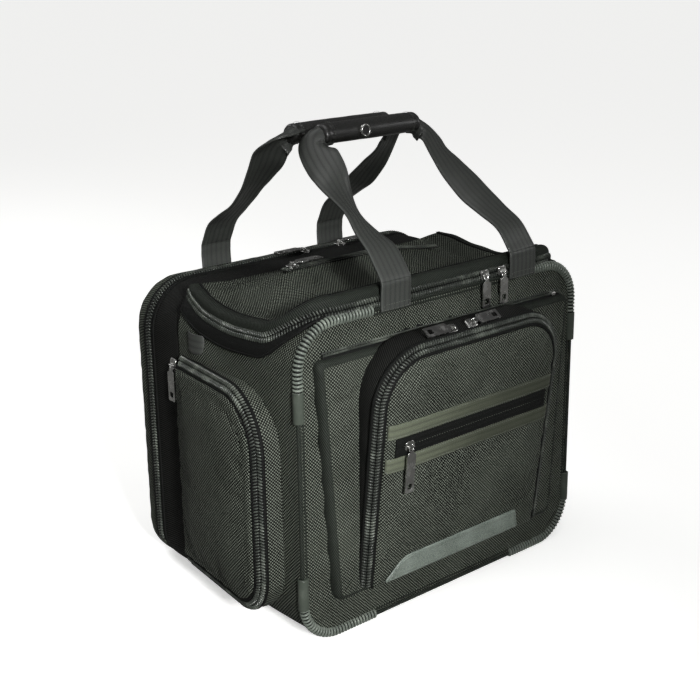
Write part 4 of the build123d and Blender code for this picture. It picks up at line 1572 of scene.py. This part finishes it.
@dataclass
class ZippedPocket:
    """A pocket whose padded door leans out from its hinge, over a wall of cloth.

    Attributes:
        finishes: The bag's finishes.
        name: The pocket's name in its pieces' names.
        place: The plane of the door.
        outline: The door's outline at the zip.
        first: The first side of the outline with a zip; three sides have one.
        slope: Sine of the lean, which deepens the wall with distance from the hinge.
        along: Index of the plan coordinate that measures that distance.
        floor: Depth of the wall at the hinge.
        mirror: True for a pocket drawn on the other side of the bag.
        nodes: The frame nodes of the wall, its zip, the door and the door's zip.
        body: The body of the door.
    """

    finishes: Finishes
    name: str
    place: Place
    outline: Pad
    first: int
    slope: float
    along: int
    floor: float
    mirror: bool
    nodes: tuple[Sequence[str], Sequence[str], Sequence[str], Sequence[str]]
    body: str
    lean: float = 1.0
    margin: float = 0.0105
    zip_inset: float = 0.0036
    set_back: float = 0.0036
    roll: float = 0.0075
    hinge_gap: float = 0.0005
    cord: float = 0.0017
    lift: float = 0.0026
    face_depth: float = 0.0052
    crown: float = 0.0015
    sewn: Callable[[Array], Array] | None = None

    def add(self, name: str, grids: Sequence[Grid], finishes: Sequence, body: str, nodes: Sequence[str],
            slot: str, wall: float = 0.0, fill: float = 0.0) -> bpy.types.Object:
        """Make one piece of the pocket, on its own side of the bag.

        Args:
            name: End of the piece's name.
            grids: Its surfaces.
            finishes: Its materials.
            body: The body that it rides on.
            nodes: The frame nodes that it stands for.
            slot: The record's slot; not used.
            wall: Thickness to add, if any.
            fill: How full it is, if it is padded; not used.

        Returns:
            The piece.
        """
        surfaces = mirrored(grids) if self.mirror else grids
        return sew(f"{self.name}_{name}", surfaces, finishes, body, nodes, wall)

    def pad(self) -> Pad:
        """The padded face inside the zip."""
        o, m = self.outline, self.margin
        inwards = ((1, 1), (-1, 1), (-1, -1), (1, -1))
        corners = [(x + m * sx, z + m * sz) for (x, z), (sx, sz) in zip(o.corners, inwards)]
        if self.along == 1:
            corners[0] = (corners[0][0], o.corners[0][1] + self.hinge_gap)
            corners[1] = (corners[1][0], o.corners[1][1] + self.hinge_gap)
        else:
            corners[0] = (o.corners[0][0] + self.hinge_gap, corners[0][1])
            corners[3] = (o.corners[3][0] + self.hinge_gap, corners[3][1])
        radii = [max(r - m, 0.003) for r in o.radii]
        return Pad(corners, radii, self.roll, self.face_depth, self.crown, pucker=0.0005,
                   rows=o.rows, cols=o.cols, seed=o.seed)

    def wall(self) -> None:
        """The cloth wall and the fixed half of the zip, with cords at the seams."""
        line = self.outline.run(self.first, 3, 0.0, 2 * MM)
        depth = (self.floor + line[:, self.along] * self.slope) / np.sqrt(1 - self.slope**2) + 0.002
        front = self.place.moved(-self.set_back)
        grid = gusset(front, line, np.maximum(depth - self.set_back, 0.001), 0.0012)
        # The organizer's wall takes the near-black lining cloth as painted shade under its leaning door; the
        # side pockets' walls take the ballistic cloth.
        cloth = self.finishes.lining if self.sewn else self.finishes.ballistic
        self.add("wall", [grid], [cloth], "carcase", self.nodes[0], "ballistic_cloth", 2 * MM)
        rim = front.rim(self.outline.run(self.first, 3, -0.0006, 2 * MM))
        cords = tube(rim.shifted(out=-0.0002), ring(self.cord))
        self.add("wall_cords", cords, [self.finishes.tape], "carcase", [], "ballistic_cloth")
        path = self.place.rim(self.outline.run(self.first, 3, self.zip_inset), 0.0006, self.lean)
        grids = half_zip(path, 1, tape=ZIP_TAPE)
        self.add("zip_fixed_half", grids, self.finishes.zip, "carcase",
                 self.nodes[1], "zip_tape_and_coil")

    def door(self) -> None:
        """The padded door and its half of the zip, with a cord round its face."""
        pad = self.pad()
        base = self.place.moved(self.lift)
        face = pad.face(base)
        held = pad.inset(face.uv) < 0.0095
        if self.sewn:
            held |= self.sewn(face.uv)
        face = drape(face, held, pressure=4, slack=0.014, cap=0.0045, seed=pad.seed)
        self.add("door_face", [face, pad.edge(base)], [self.finishes.ballistic], self.body,
                 self.nodes[2], "ballistic_cloth", 2.2 * MM, 0.5)
        rim = base.rim(pad.run(self.first, 3, -0.0009, 2 * MM), 0.0006)
        cord = tube(rim, ring(self.cord))
        self.add("door_cord", cord, [self.finishes.tape], self.body, [], "ballistic_cloth")
        path = self.place.rim(self.outline.run(self.first, 3, self.zip_inset), 0.0006, self.lean)
        grids = half_zip(path, -1, tape=ZIP_TAPE)
        self.add("zip_door_half", grids, self.finishes.zip, self.body,
                 self.nodes[3], "zip_tape_and_coil")

    def build(self) -> None:
        """Make every piece."""
        self.wall()
        self.door()


@dataclass
class Organizer(ZippedPocket):
    """The organizer on the front, with two satin bands, a zipped pocket between them and a patch."""

    bands: Sequence[float] = (0.126, 0.161)
    band_width: float = 0.015
    band_zip: float = 0.151
    patch: Sequence[float] = (-0.106, 0.083, 0.005, 0.028)

    def on_face(self) -> Place:
        """The plane of the door's outer face."""
        return self.place.moved(self.lift + self.face_depth + self.crown)

    def trimmings(self) -> None:
        """Satin bands sewn across the door, with a line of sewing along each edge."""
        place, pad = self.on_face(), self.pad()
        half = pad.corners[1][0] - 0.0016
        satin, threads = [], []
        for base in self.bands:
            middle = base + self.band_width / 2
            x = np.linspace(-half, half, 120)
            over = np.clip((np.abs(x) - half + pad.roll - 0.0016) / pad.roll, 0, 1)
            drop = -self.face_depth * (1 - np.sqrt(1 - over**2))
            drop = drop - self.crown * smooth((np.abs(x) - 0.09) / 0.025)
            path = Path(place.at(np.stack([x, np.full_like(x, middle)], 1), drop - 0.0002), place.out)
            satin += tube(path, strap_profile(self.band_width, 1.3 * MM))
            for side in (-1, 1):
                line = path.shifted(side=side * (self.band_width / 2 - 1.6 * MM), out=0.65 * MM)
                threads += stitches(line, finish=1)
        self.add("satin_bands", satin + threads, [self.finishes.satin, self.finishes.thread], self.body,
                 ["trim_bands"], "satin_band")
        x = np.linspace(-0.104, 0.104, 80)
        path = place.line(np.stack([x, np.full_like(x, self.band_zip)], 1), -0.0004)
        grids = []
        for way in (-1, 1):
            grids += tube(path.shifted(side=way * 5.1 * MM), strap_profile(9.6 * MM, 1.0 * MM, 0.3 * MM))
            grids += tube(path.shifted(side=way * 0.95 * MM, out=0.25 * MM), ring(0.75 * MM, 8))
        self.add("band_zip_closed", grids, self.finishes.zip, self.body,
                 ["band_zip"], "zip_tape_and_coil")

    def badge(self) -> None:
        """A plain leather patch with a slanted left-hand end, edged by a bead and sewing."""
        x0, x1, v0, v1 = self.patch
        pad = Pad([(x0, v0), (x1 + 0.003, v0), (x1 - 0.003, v1), (x0 + 0.026, v1)],
                  [0.002, 0.002, 0.005, 0.026], 0.0016, 0.0014, 0.0, pucker=0.0, rows=14, cols=60)
        place = self.on_face().moved(-0.0005)
        self.add("patch_face", [pad.face(place), pad.edge(place, 6)], [self.finishes.patch], self.body,
                 ["badge_patch"], "patch_leather", 0.8 * MM)
        bead_line = pad.ring(0.0024)
        raised = np.concatenate([bead_line, bead_line[:1]])
        path = Path(place.at(raised, 0.0015), place.out, closed=True)
        grids = tube(path, ring(0.7 * MM, 8))
        inner = pad.ring(0.0042)
        path = Path(place.at(np.concatenate([inner, inner[:1]]), 0.0013), place.out)
        self.add("patch_sewing", grids + stitches(path, 2.8 * MM, 2.0 * MM, finish=1),
                 [self.finishes.patch, self.finishes.thread], self.body, [], "patch_leather")

    def build(self) -> None:
        """Make every piece."""
        super().build()
        self.trimmings()
        self.badge()


# ---- Handles ----

@dataclass
class Handle:
    """A webbing handle: two sewn roots, two legs that roll up at the top, and a leather grip.

    Attributes:
        finishes: The bag's finishes.
        name: "front" or "rear".
        root: Depth and height of the seam line.
        way: 1 if the legs lean to the rear, -1 if to the front.
        anchors: Where the two roots stand.
        grip: The grip's two ends.
        grip_y: Depth of the grip.
    """

    finishes: Finishes
    name: str
    root: tuple[float, float]
    way: int
    anchors: tuple[float, float]
    grip: tuple[float, float]
    grip_y: float
    grip_z: float = 0.460
    stub: float = 0.028
    width: float = 0.038
    thick: float = 0.0026
    sewn: float = 0.009
    bow: float = 0.006
    radius: float = 0.0112

    def folded(self, into: int) -> bool:
        """True for the front left leg, which folds down sharply at the grip."""
        return self.name == "front" and into == 1

    def leg_line(self, anchor: float, end: float, into: int) -> Array:
        """The middle of a leg: up from its seam, over to the grip in a bow, and into its end."""
        y, z = self.root
        knee = np.array([anchor, y, z + self.stub])
        reach = 0.010 if self.folded(into) else 0.015
        corner = np.array([end - into * reach, self.grip_y - self.way * 0.006, self.grip_z - 0.011])
        lean = unit(corner - knee)
        off = unit(np.cross(np.cross(lean, Z_AXIS), lean)) * -self.bow
        points = [(anchor, y, z - self.sewn), (anchor, y, z - 0.004), (anchor, y, z + 0.010),
                  knee + (0, self.way * 0.002, -0.006), knee + 0.16 * (corner - knee) + off * 0.2,
                  knee + 0.48 * (corner - knee) + off, knee + 0.80 * (corner - knee) + off * 0.7, corner,
                  (end - into * 0.003, self.grip_y, self.grip_z - 0.0025),
                  (end + into * 0.012, self.grip_y, self.grip_z)]
        return even(spline(points, 400), 1.2 * MM)

    def leg(self, anchor: float, end: float, into: int) -> tuple[list[Grid], list[Grid]]:
        """One leg's webbing, cut in two above its seam.

        The strap rolls up towards the grip: a flat point (x, y) goes to the angle a = x / half * roll
        on a circle of radius half / roll.

        Returns:
            The grids of the root, and of the leg above it.
        """
        points = self.leg_line(anchor, end, into)
        along = travel(points) / travel(points)[-1]
        tangent = unit(np.gradient(points, axis=0))
        turn = smooth((along - 0.82) / 0.15)[:, None]
        out = unit(np.cross(X_AXIS * self.way * -1, tangent) * -1)
        out = np.where((out * (0, -self.way, 0.4)).sum(1, keepdims=True) < 0, -out, out)
        top = unit(np.array([0, -self.way * 0.72, 0.69]))
        path = Path(points, unit(out * (1 - turn) + top * turn))
        middle, upper = (0.46, 0.62) if self.folded(into) else (0.20, 0.28)
        twist = into * (middle * bump(along, 0.50, 0.15) - upper * bump(along, 0.80, 0.11))[:, None]
        path = Path(points, path.out * np.cos(twist) + path.side() * np.sin(twist))
        half = self.width / 2
        flat = strap_profile(self.width, self.thick, 0.0003)
        roll = 0.25 * smooth((along - 0.3) / 0.3) + 1.75 * smooth((along - 0.80) / 0.17) + 1e-3
        angle = flat[None, :, 0] / half * roll[:, None]
        radius = half / roll[:, None]
        x = (radius + flat[None, :, 1]) * np.sin(angle)
        y = (radius + flat[None, :, 1]) * np.cos(angle) - radius
        y = y + np.minimum(radius, 0.0075) * smooth((along - 0.88) / 0.10)[:, None]
        y = y + 0.0008 * ripple(along * 0.2, int(abs(anchor) * 1000), 0.05)[:, None]
        profile = np.stack([x, y], axis=2)
        cut = int(np.argmin(np.abs(points[:, 2] - (self.root[1] + 0.019)) + (along > 0.5)))
        cloth = swept(path, profile)
        lower = Grid(cloth.points[:cut + 1], cloth.uv[:cut + 1], wrap_cols=True)
        upper = Grid(cloth.points[cut:], cloth.uv[cut:], wrap_cols=True)
        return [lower, end_caps(lower)[0]], [upper, *end_caps(upper)]

    def webbing(self) -> None:
        """Both legs with their knees, and both roots, as two pieces cut apart above the seam."""
        roots, legs = [], []
        for anchor, end, into in zip(self.anchors, self.grip, (1, -1)):
            root, leg = self.leg(anchor, end, into)
            roots += root
            legs += leg
            y, z = self.root
            out = np.array([0, -self.way, 0.0])
            half = self.width / 2 - 0.003
            corners = [(-half, -0.0075), (half, -0.0075), (half, -0.0025), (-half, -0.0025)]
            box = rounded(corners, [0.001] * 4, True)
            place = Place(np.array([anchor, y, z]), X_AXIS * self.way, Z_AXIS, out)
            roots += stitches(place.line(box, 0.0016), finish=1)
        y, z = self.root
        finishes = [self.finishes.webbing, self.finishes.thread]
        piece = make_piece(f"{self.name}_handle_root_straps", roots, finishes, weld=True)
        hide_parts(f"{self.name}_handle_roots")
        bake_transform(piece)
        log.info("%s bends at the seam", piece.name)
        piece = make_piece(f"{self.name}_handle_legs", legs, finishes, weld=True)
        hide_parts(f"{self.name}_handle_webbing")
        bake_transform(piece)
        log.info("%s bends at the knee", piece.name)

    def leather(self) -> None:
        """The grip: a stuffed tube with cuffs, a lapped seam and sewing along it."""
        x = np.linspace(*self.grip, 130)
        near = np.minimum(x - self.grip[0], self.grip[1] - x)
        swell = 0.86 + 0.14 * smooth(near / 0.0025) - 0.05 * bump(near, 0.0075, 0.0014)
        swell = swell + 0.012 * ripple(x, 41, 0.04) + 0.03 * bump(x, x.mean(), 0.04)
        points = np.stack([x, np.full_like(x, self.grip_y), np.full_like(x, self.grip_z)], axis=1)
        path = Path(points, unit(np.array([0, -self.way * 0.5, 1.0])))
        grids = tube(path, ring(self.radius, 36, 0.86), swell=swell)
        for side in (-1, 1):
            seam = unit(np.array([0, -self.way * 0.80, -0.60 + 0.16 * side]))
            line = points[8:-8] + seam * self.radius * 0.945
            grids += stitches(Path(line, seam), 3.4 * MM, 2.4 * MM, finish=1)
        for end in (self.grip[0] + 0.0105, self.grip[1] - 0.0105):
            angle = np.linspace(0, 2 * np.pi, 60)
            out = np.stack([np.zeros_like(angle), np.cos(angle), np.sin(angle)], axis=1)
            line = np.array([end, self.grip_y, self.grip_z]) + out * self.radius * 0.975
            grids += stitches(Path(line, out), 3.0 * MM, 2.1 * MM, finish=1)
        sew(f"{self.name}_grip_leather", grids, [self.finishes.grip, self.finishes.thread],
            f"{self.name}_handle", [f"{self.name}_grip"])

    def build(self) -> None:
        """Make every piece."""
        self.webbing()
        self.leather()


@dataclass
class Snap:
    """The snap on the front grip: a turned cap with a rolled rim and a plain dished middle."""

    finishes: Finishes

    def build(self) -> None:
        """Turn the cap's profile of (radius, height) about its axis."""
        first, last = low("snap_cap"), high("snap_cap")
        middle = (first + last) / 2
        profile = np.array([(0, -2.4), (6.2, -2.4), (6.5, -1.2), (6.55, 0.2), (6.2, 1.2), (5.5, 1.65),
                            (4.8, 1.3), (4.2, 0.75), (2.5, 0.95), (0, 1.1)]) * MM
        profile = even(profile, 0.25 * MM)
        angle = np.linspace(0, 2 * np.pi, 48, endpoint=False)
        plan = profile[:, :1, None] * np.stack([np.cos(angle), np.sin(angle)], axis=1)[None]
        place = Place(middle, X_AXIS, Z_AXIS, -Y_AXIS)
        points = place.at(plan, np.broadcast_to(profile[:, 1:], plan.shape[:2]))
        dish = int(np.argmin(np.abs(profile[:, 0] - 4.3 * MM) + (profile[:, 1] < 0)))
        grids = [measured(points[:dish + 1], wrap_cols=True),
                 measured(points[dish:], wrap_cols=True, finish=1)]
        sew("snap_cap_turned", grids, [self.finishes.nickel, self.finishes.hole],
            "front_handle", ["snap_cap", "snap_stud"])


# ---- Zip sliders ----

@dataclass
class Slider:
    """A zip slider with its bail, and the ringed flat pull that turns on it.

    Attributes:
        finishes: The bag's finishes.
        name: The slider's name in the frame.
        along: True if the zip runs the way that the pull lies.
        length: Distance from the bar to the pull's end.
    """

    finishes: Finishes
    name: str
    along: bool
    length: float
    tilt: float = 0.0
    bar: float = 0.005
    tab: float = 0.0112
    sheet: float = 0.0016

    def place(self, tilt: float) -> Place:
        """Where the zip lies under the bar: across is the way that the pull lies."""
        joint = next(j for j in frame["joints"] if j["name"] == f"{self.name}_pull_turn")
        pivot, axis = np.array(joint["pos_m"]), unit(np.array(joint["axis"]))
        middle = (low(f"{self.name}_pull") + high(f"{self.name}_pull")) / 2 - pivot
        way = unit(middle - axis * (middle @ axis))
        out = np.cross(axis, way)
        body = (low(f"{self.name}_slider") + high(f"{self.name}_slider")) / 2 - pivot
        if body @ out > 0:
            out = -out
        out = np.cos(tilt) * out + np.sin(tilt) * np.array([0, -1.0, 0])
        return Place(pivot - self.bar * out, way, np.cross(out, way), out)

    def body(self, place: Place, level: Place) -> None:
        """The slider: two rounded plates, a waist between them and an arched bail."""
        a, b = (6.8, 5.2) if self.along else (5.2, 5.6)
        grids = [pebble(place, a * MM, b * MM, 0.8 * MM, 2.0 * MM, 0.6),
                 pebble(place, a * 0.9 * MM, b * 0.9 * MM, 0.6 * MM, 0.4 * MM, 0.5)]
        feet = [(0, -3.9, 1.9), (0, -3.9, 5.0), (0, 3.9, 5.0), (0, 3.9, 1.9)]
        line = rounded(np.array(feet) * MM, [0, 1.5 * MM, 1.5 * MM, 0])
        points = level.at(line[:, :2], line[:, 2])
        grids += tube(Path(points, level.across).even(0.5 * MM), ring(0.8 * MM, 10))
        nose = 1 if self.along else 0
        shift = (a * 0.62 * MM, 0.0) if nose else (0.0, b * 0.62 * MM)
        grids.append(pebble(place, 1.7 * MM, 1.7 * MM, 0.8 * MM, 2.5 * MM, 0.7, shift))
        sew(f"{self.name}_slider_cast", grids, [self.finishes.nickel],
            f"{self.name}_slider", [f"{self.name}_slider"])

    def plate(self, place: Place) -> Grid:
        """The flat tab with a hole: rings matched by angle about the hole's middle.

        The outline is seen whole from the hole, so one turn of angles reads both of them.
        """
        end, half = self.length, self.tab / 2
        lower = [(3.4 * MM, -2.2 * MM), (6.2 * MM, -2.4 * MM), (8.0 * MM, -half), (end, -half)]
        corners = lower + [(x, -y) for x, y in lower[::-1]]
        radii = [0.5 * MM, 1.2 * MM, 1.2 * MM, 1.3 * MM]
        outer = even(rounded(corners, radii + radii[::-1], True), 0.6 * MM)[:-1]
        middle = np.array([end - 6.4 * MM, 0])
        hole = np.array([(-3.0, -2.7), (3.0, -2.7), (3.0, 2.7), (-3.0, 2.7)]) * MM
        inner = even(rounded(hole, [0.6 * MM] * 4, True), 0.15 * MM)[:-1]
        turn = np.arctan2(*(outer - middle).T[::-1])
        known = np.arctan2(*inner.T[::-1])
        order = np.argsort(known)
        inner = np.stack([np.interp(turn, known[order], inner[order, i], period=2 * np.pi)
                          for i in (0, 1)], 1) + middle
        lift = np.array([0.5, 0.5, -0.5, -0.5]) * self.sheet + self.bar
        rows = np.stack([place.at(p, h) for p, h in zip((inner, outer, outer, inner), lift)])
        return measured(rows, wrap_rows=True, wrap_cols=True).flipped()

    def pull(self, place: Place, level: Place) -> None:
        """The pull: a flat tab, and a wire eye that dips from its neck to pass under the bar."""
        half = [(4.4, 2.3, 5.0), (2.6, 2.4, 4.25), (0.9, 2.3, 3.6), (-0.4, 1.9, 3.5), (-0.6, 0.0, 3.5)]
        loop = spline(np.array(half + [(x, -y, z) for x, y, z in half[-2::-1]]) * MM, 60)
        share = smooth((loop[:, :1] - 1 * MM) / (3 * MM))
        leaned, upright = (where.at(loop[:, :2], loop[:, 2]) for where in (place, level))
        points = share * leaned + (1 - share) * upright
        eye = tube(Path(points, place.out), ring(0.65 * MM, 10))
        grids = [self.plate(place), *eye]
        piece = make_piece(f"{self.name}_pull_tab", grids, [self.finishes.nickel], weld=True)
        modifier = piece.modifiers.new("Bevel", "BEVEL")
        modifier.width, modifier.segments, modifier.limit_method = 0.35 * MM, 2, "ANGLE"
        modifier.angle_limit = np.radians(50)
        modifier.harden_normals = True
        settle(piece, f"{self.name}_pull", [f"{self.name}_pull"])

    def build(self) -> None:
        """Make both pieces."""
        place, level = self.place(self.tilt), self.place(0.0)
        self.body(place, level)
        self.pull(place, level)


# ---- The studio ----

@dataclass(frozen=True)
class Lamp:
    """A light at one point, aimed at another."""

    name: str
    kind: str
    at: tuple[float, float, float]
    target: tuple[float, float, float]
    power: float
    settings: dict[str, float]


@dataclass
class Studio:
    """A pale floor, the camera, and the lamps.

    The key is a spot from the upper left front. Three weak square lamps stand at the left, the right
    and the rear, and a broad one shines from above.
    """

    eye: Sequence[float] = (-0.86747, -0.99159, 0.64416)
    azimuth: float = -40.889
    elevation: float = 17.66
    roll: float = -0.83
    lens: float = 66.93
    air: float = 0.08
    backdrop: Colour = (0.93, 0.93, 0.92)
    lamps: Sequence[Lamp] = (
        Lamp("left_light", "AREA", (-2.3, 0.1, 1.1), (0, 0, 0.2), 2, {"size": 0.6}),
        Lamp("right_light", "AREA", (1.7, -1.1, 1.0), (0, -0.05, 0.2), 5, {"size": 0.6}),
        Lamp("rear_light", "AREA", (-0.4, 1.7, 1.5), (0, 0, 0.25), 6, {"size": 0.8}),
        Lamp("key_light", "SPOT", (-0.95, -2.35, 1.05), (-0.19, -0.14, 0.20), 640,
             {"spot_size": np.radians(16.5), "spot_blend": 1.0, "shadow_soft_size": 0.25}),
        Lamp("sky_light", "SUN", (-0.15, 0.1, 3), (0, 0, 0), 0.95, {"angle": 0.9}),
    )

    def floor(self) -> None:
        """A floor just under the bag."""
        t = np.linspace(-1, 1, 41) ** 5 * 90
        x, y = np.meshgrid(t, t)
        points = np.stack([x, y, np.full_like(x, -0.0012)], axis=2)
        piece = make_piece("studio_floor", [Grid(points, points[..., :2])],
                           [Paper("studio_paper", (0.90, 0.90, 0.89)).make()])

    def lights(self) -> None:
        """The lamps, and an even backdrop that gives little light of its own."""
        for lamp in self.lamps:
            data = bpy.data.lights.new(lamp.name, lamp.kind)
            data.energy = lamp.power
            for name, value in lamp.settings.items():
                setattr(data, name, value)
            stand = bpy.data.objects.new(lamp.name, data)
            stand.location = lamp.at
            stand.rotation_euler = (Vector(lamp.at) - Vector(lamp.target)).to_track_quat("Z", "Y").to_euler()
            bpy.context.scene.collection.objects.link(stand)
        world = bpy.data.worlds.new("studio_air")
        bpy.context.scene.world = world
        world.use_nodes = True
        tree = world.node_tree
        air, backdrop = tree.nodes["Background"], tree.nodes.new("ShaderNodeBackground")
        air.inputs["Color"].default_value = (1, 1, 1, 1)
        air.inputs["Strength"].default_value = self.air
        backdrop.inputs["Color"].default_value = (*self.backdrop, 1)
        seen = seen_by_camera(tree, backdrop.outputs[0], air.outputs[0])
        tree.links.new(seen, tree.nodes["World Output"].inputs["Surface"])
        bpy.context.scene.view_settings.view_transform = "Standard"

    def camera(self) -> None:
        """The camera, turned by azimuth, elevation and roll about the way that it looks."""
        a, e, r = np.radians([self.azimuth, self.elevation, self.roll])
        back = np.array([np.sin(a) * np.cos(e), -np.cos(a) * np.cos(e), np.sin(e)])
        right = np.array([np.cos(a), np.sin(a), 0])
        up = np.cross(back, right)
        right, up = right * np.cos(r) + up * np.sin(r), up * np.cos(r) - right * np.sin(r)
        data = bpy.data.cameras.new("camera")
        data.lens, data.sensor_width = self.lens, 36
        camera = bpy.data.objects.new("camera", data)
        turn = Matrix([right, up, back]).transposed().to_4x4()
        camera.matrix_world = Matrix.Translation(self.eye) @ turn
        bpy.context.scene.collection.objects.link(camera)
        bpy.context.scene.camera = camera

    def build(self) -> None:
        """Make everything that isn't the bag."""
        self.floor()
        self.lights()
        self.camera()


def leaning_place() -> Place:
    """The plane of the organizer's door, which leans out about its hinge line."""
    lean = ORGANIZER_LEAN
    up = np.array([0, -np.sin(lean), np.cos(lean)])
    return Place(np.array([0, -0.146, 0.042]), X_AXIS, up, np.array([0, -np.cos(lean), -np.sin(lean)]))


def spread_place() -> Place:
    """The plane of the left pocket's door, which leans out at the front."""
    lean = POCKET_LEAN
    across = np.array([-np.sin(lean), -np.cos(lean), 0])
    return Place(np.array([-0.193, 0.047, 0]), across, Z_AXIS, np.array([-np.cos(lean), np.sin(lean), 0]))


def organizer_held(plan: Array) -> Array:
    """Where the organizer's face is sewn down: at its bands, its zip and its patch."""
    v = plan[..., 1]
    return ((v > 0.122) & (v < 0.180)) | (v < 0.032)


def build_pockets(finishes: Finishes) -> None:
    """The slip pocket, the organizer and the two side pockets."""
    SlipPocket(finishes).build()
    outline = Pad([(-0.125, 0.0005), (0.125, 0.0005), (0.125, 0.245), (-0.125, 0.245)],
                  [0.003, 0.003, 0.055, 0.055], 0.004, 0.001, 0, rows=66, cols=66, seed=23)
    nodes = (["organizer_gusset"], ["organizer_zip_chain"], ["organizer_panel"],
             ["organizer_panel_zip_chain"])
    Organizer(finishes, "organizer", leaning_place(), outline, 1, np.sin(ORGANIZER_LEAN), 1, 0.001,
              False, nodes, "organizer_door", sewn=organizer_held).build()
    outline = Pad([(0.0005, 0.025), (0.157, 0.025), (0.157, 0.250), (0.0005, 0.250)],
                  [0.003, 0.045, 0.060, 0.003], 0.004, 0.001, 0, rows=64, cols=50, seed=27)
    for side, mirror in (("left", False), ("right", True)):
        nodes = ([f"{side}_pocket_gusset"], [], [f"{side}_pocket_panel"], [])
        ZippedPocket(finishes, f"{side}_pocket", spread_place(), outline, 0, np.sin(POCKET_LEAN), 0, 0.003,
                     mirror, nodes, f"{side}_pocket_door", crown=0.0035).build()


def build_hardware(finishes: Finishes) -> None:
    """The ten sliders with pulls."""
    upright = {"lid_left", "lid_right", "band"}
    for joint in frame["joints"]:
        name = joint["name"].removesuffix("_pull_turn")
        if name == joint["name"]:
            continue
        size = high(f"{name}_pull") - low(f"{name}_pull")
        tilt = 0.6 if name.startswith("organizer") else 0.0
        Slider(finishes, name, name not in upright, float(size.max()) - 0.0021, tilt).build()


def main() -> None:
    """Build the bag and its studio."""
    logging.basicConfig(level=logging.INFO, format="%(name)s: %(message)s")
    finishes = Finishes()
    Carcase(finishes).build()
    RearCompartment(finishes).build()
    Lid(finishes).build()
    build_pockets(finishes)
    Handle(finishes, "front", (-0.137, 0.321), 1, (-0.070, 0.105), (-0.054, 0.073), -0.012).build()
    Handle(finishes, "rear", (0.1355, 0.315), -1, (-0.080, 0.080), (-0.073, 0.054), 0.012).build()
    Snap(finishes).build()
    build_hardware(finishes)
    Studio().build()


if __name__ == "__main__":
    main()
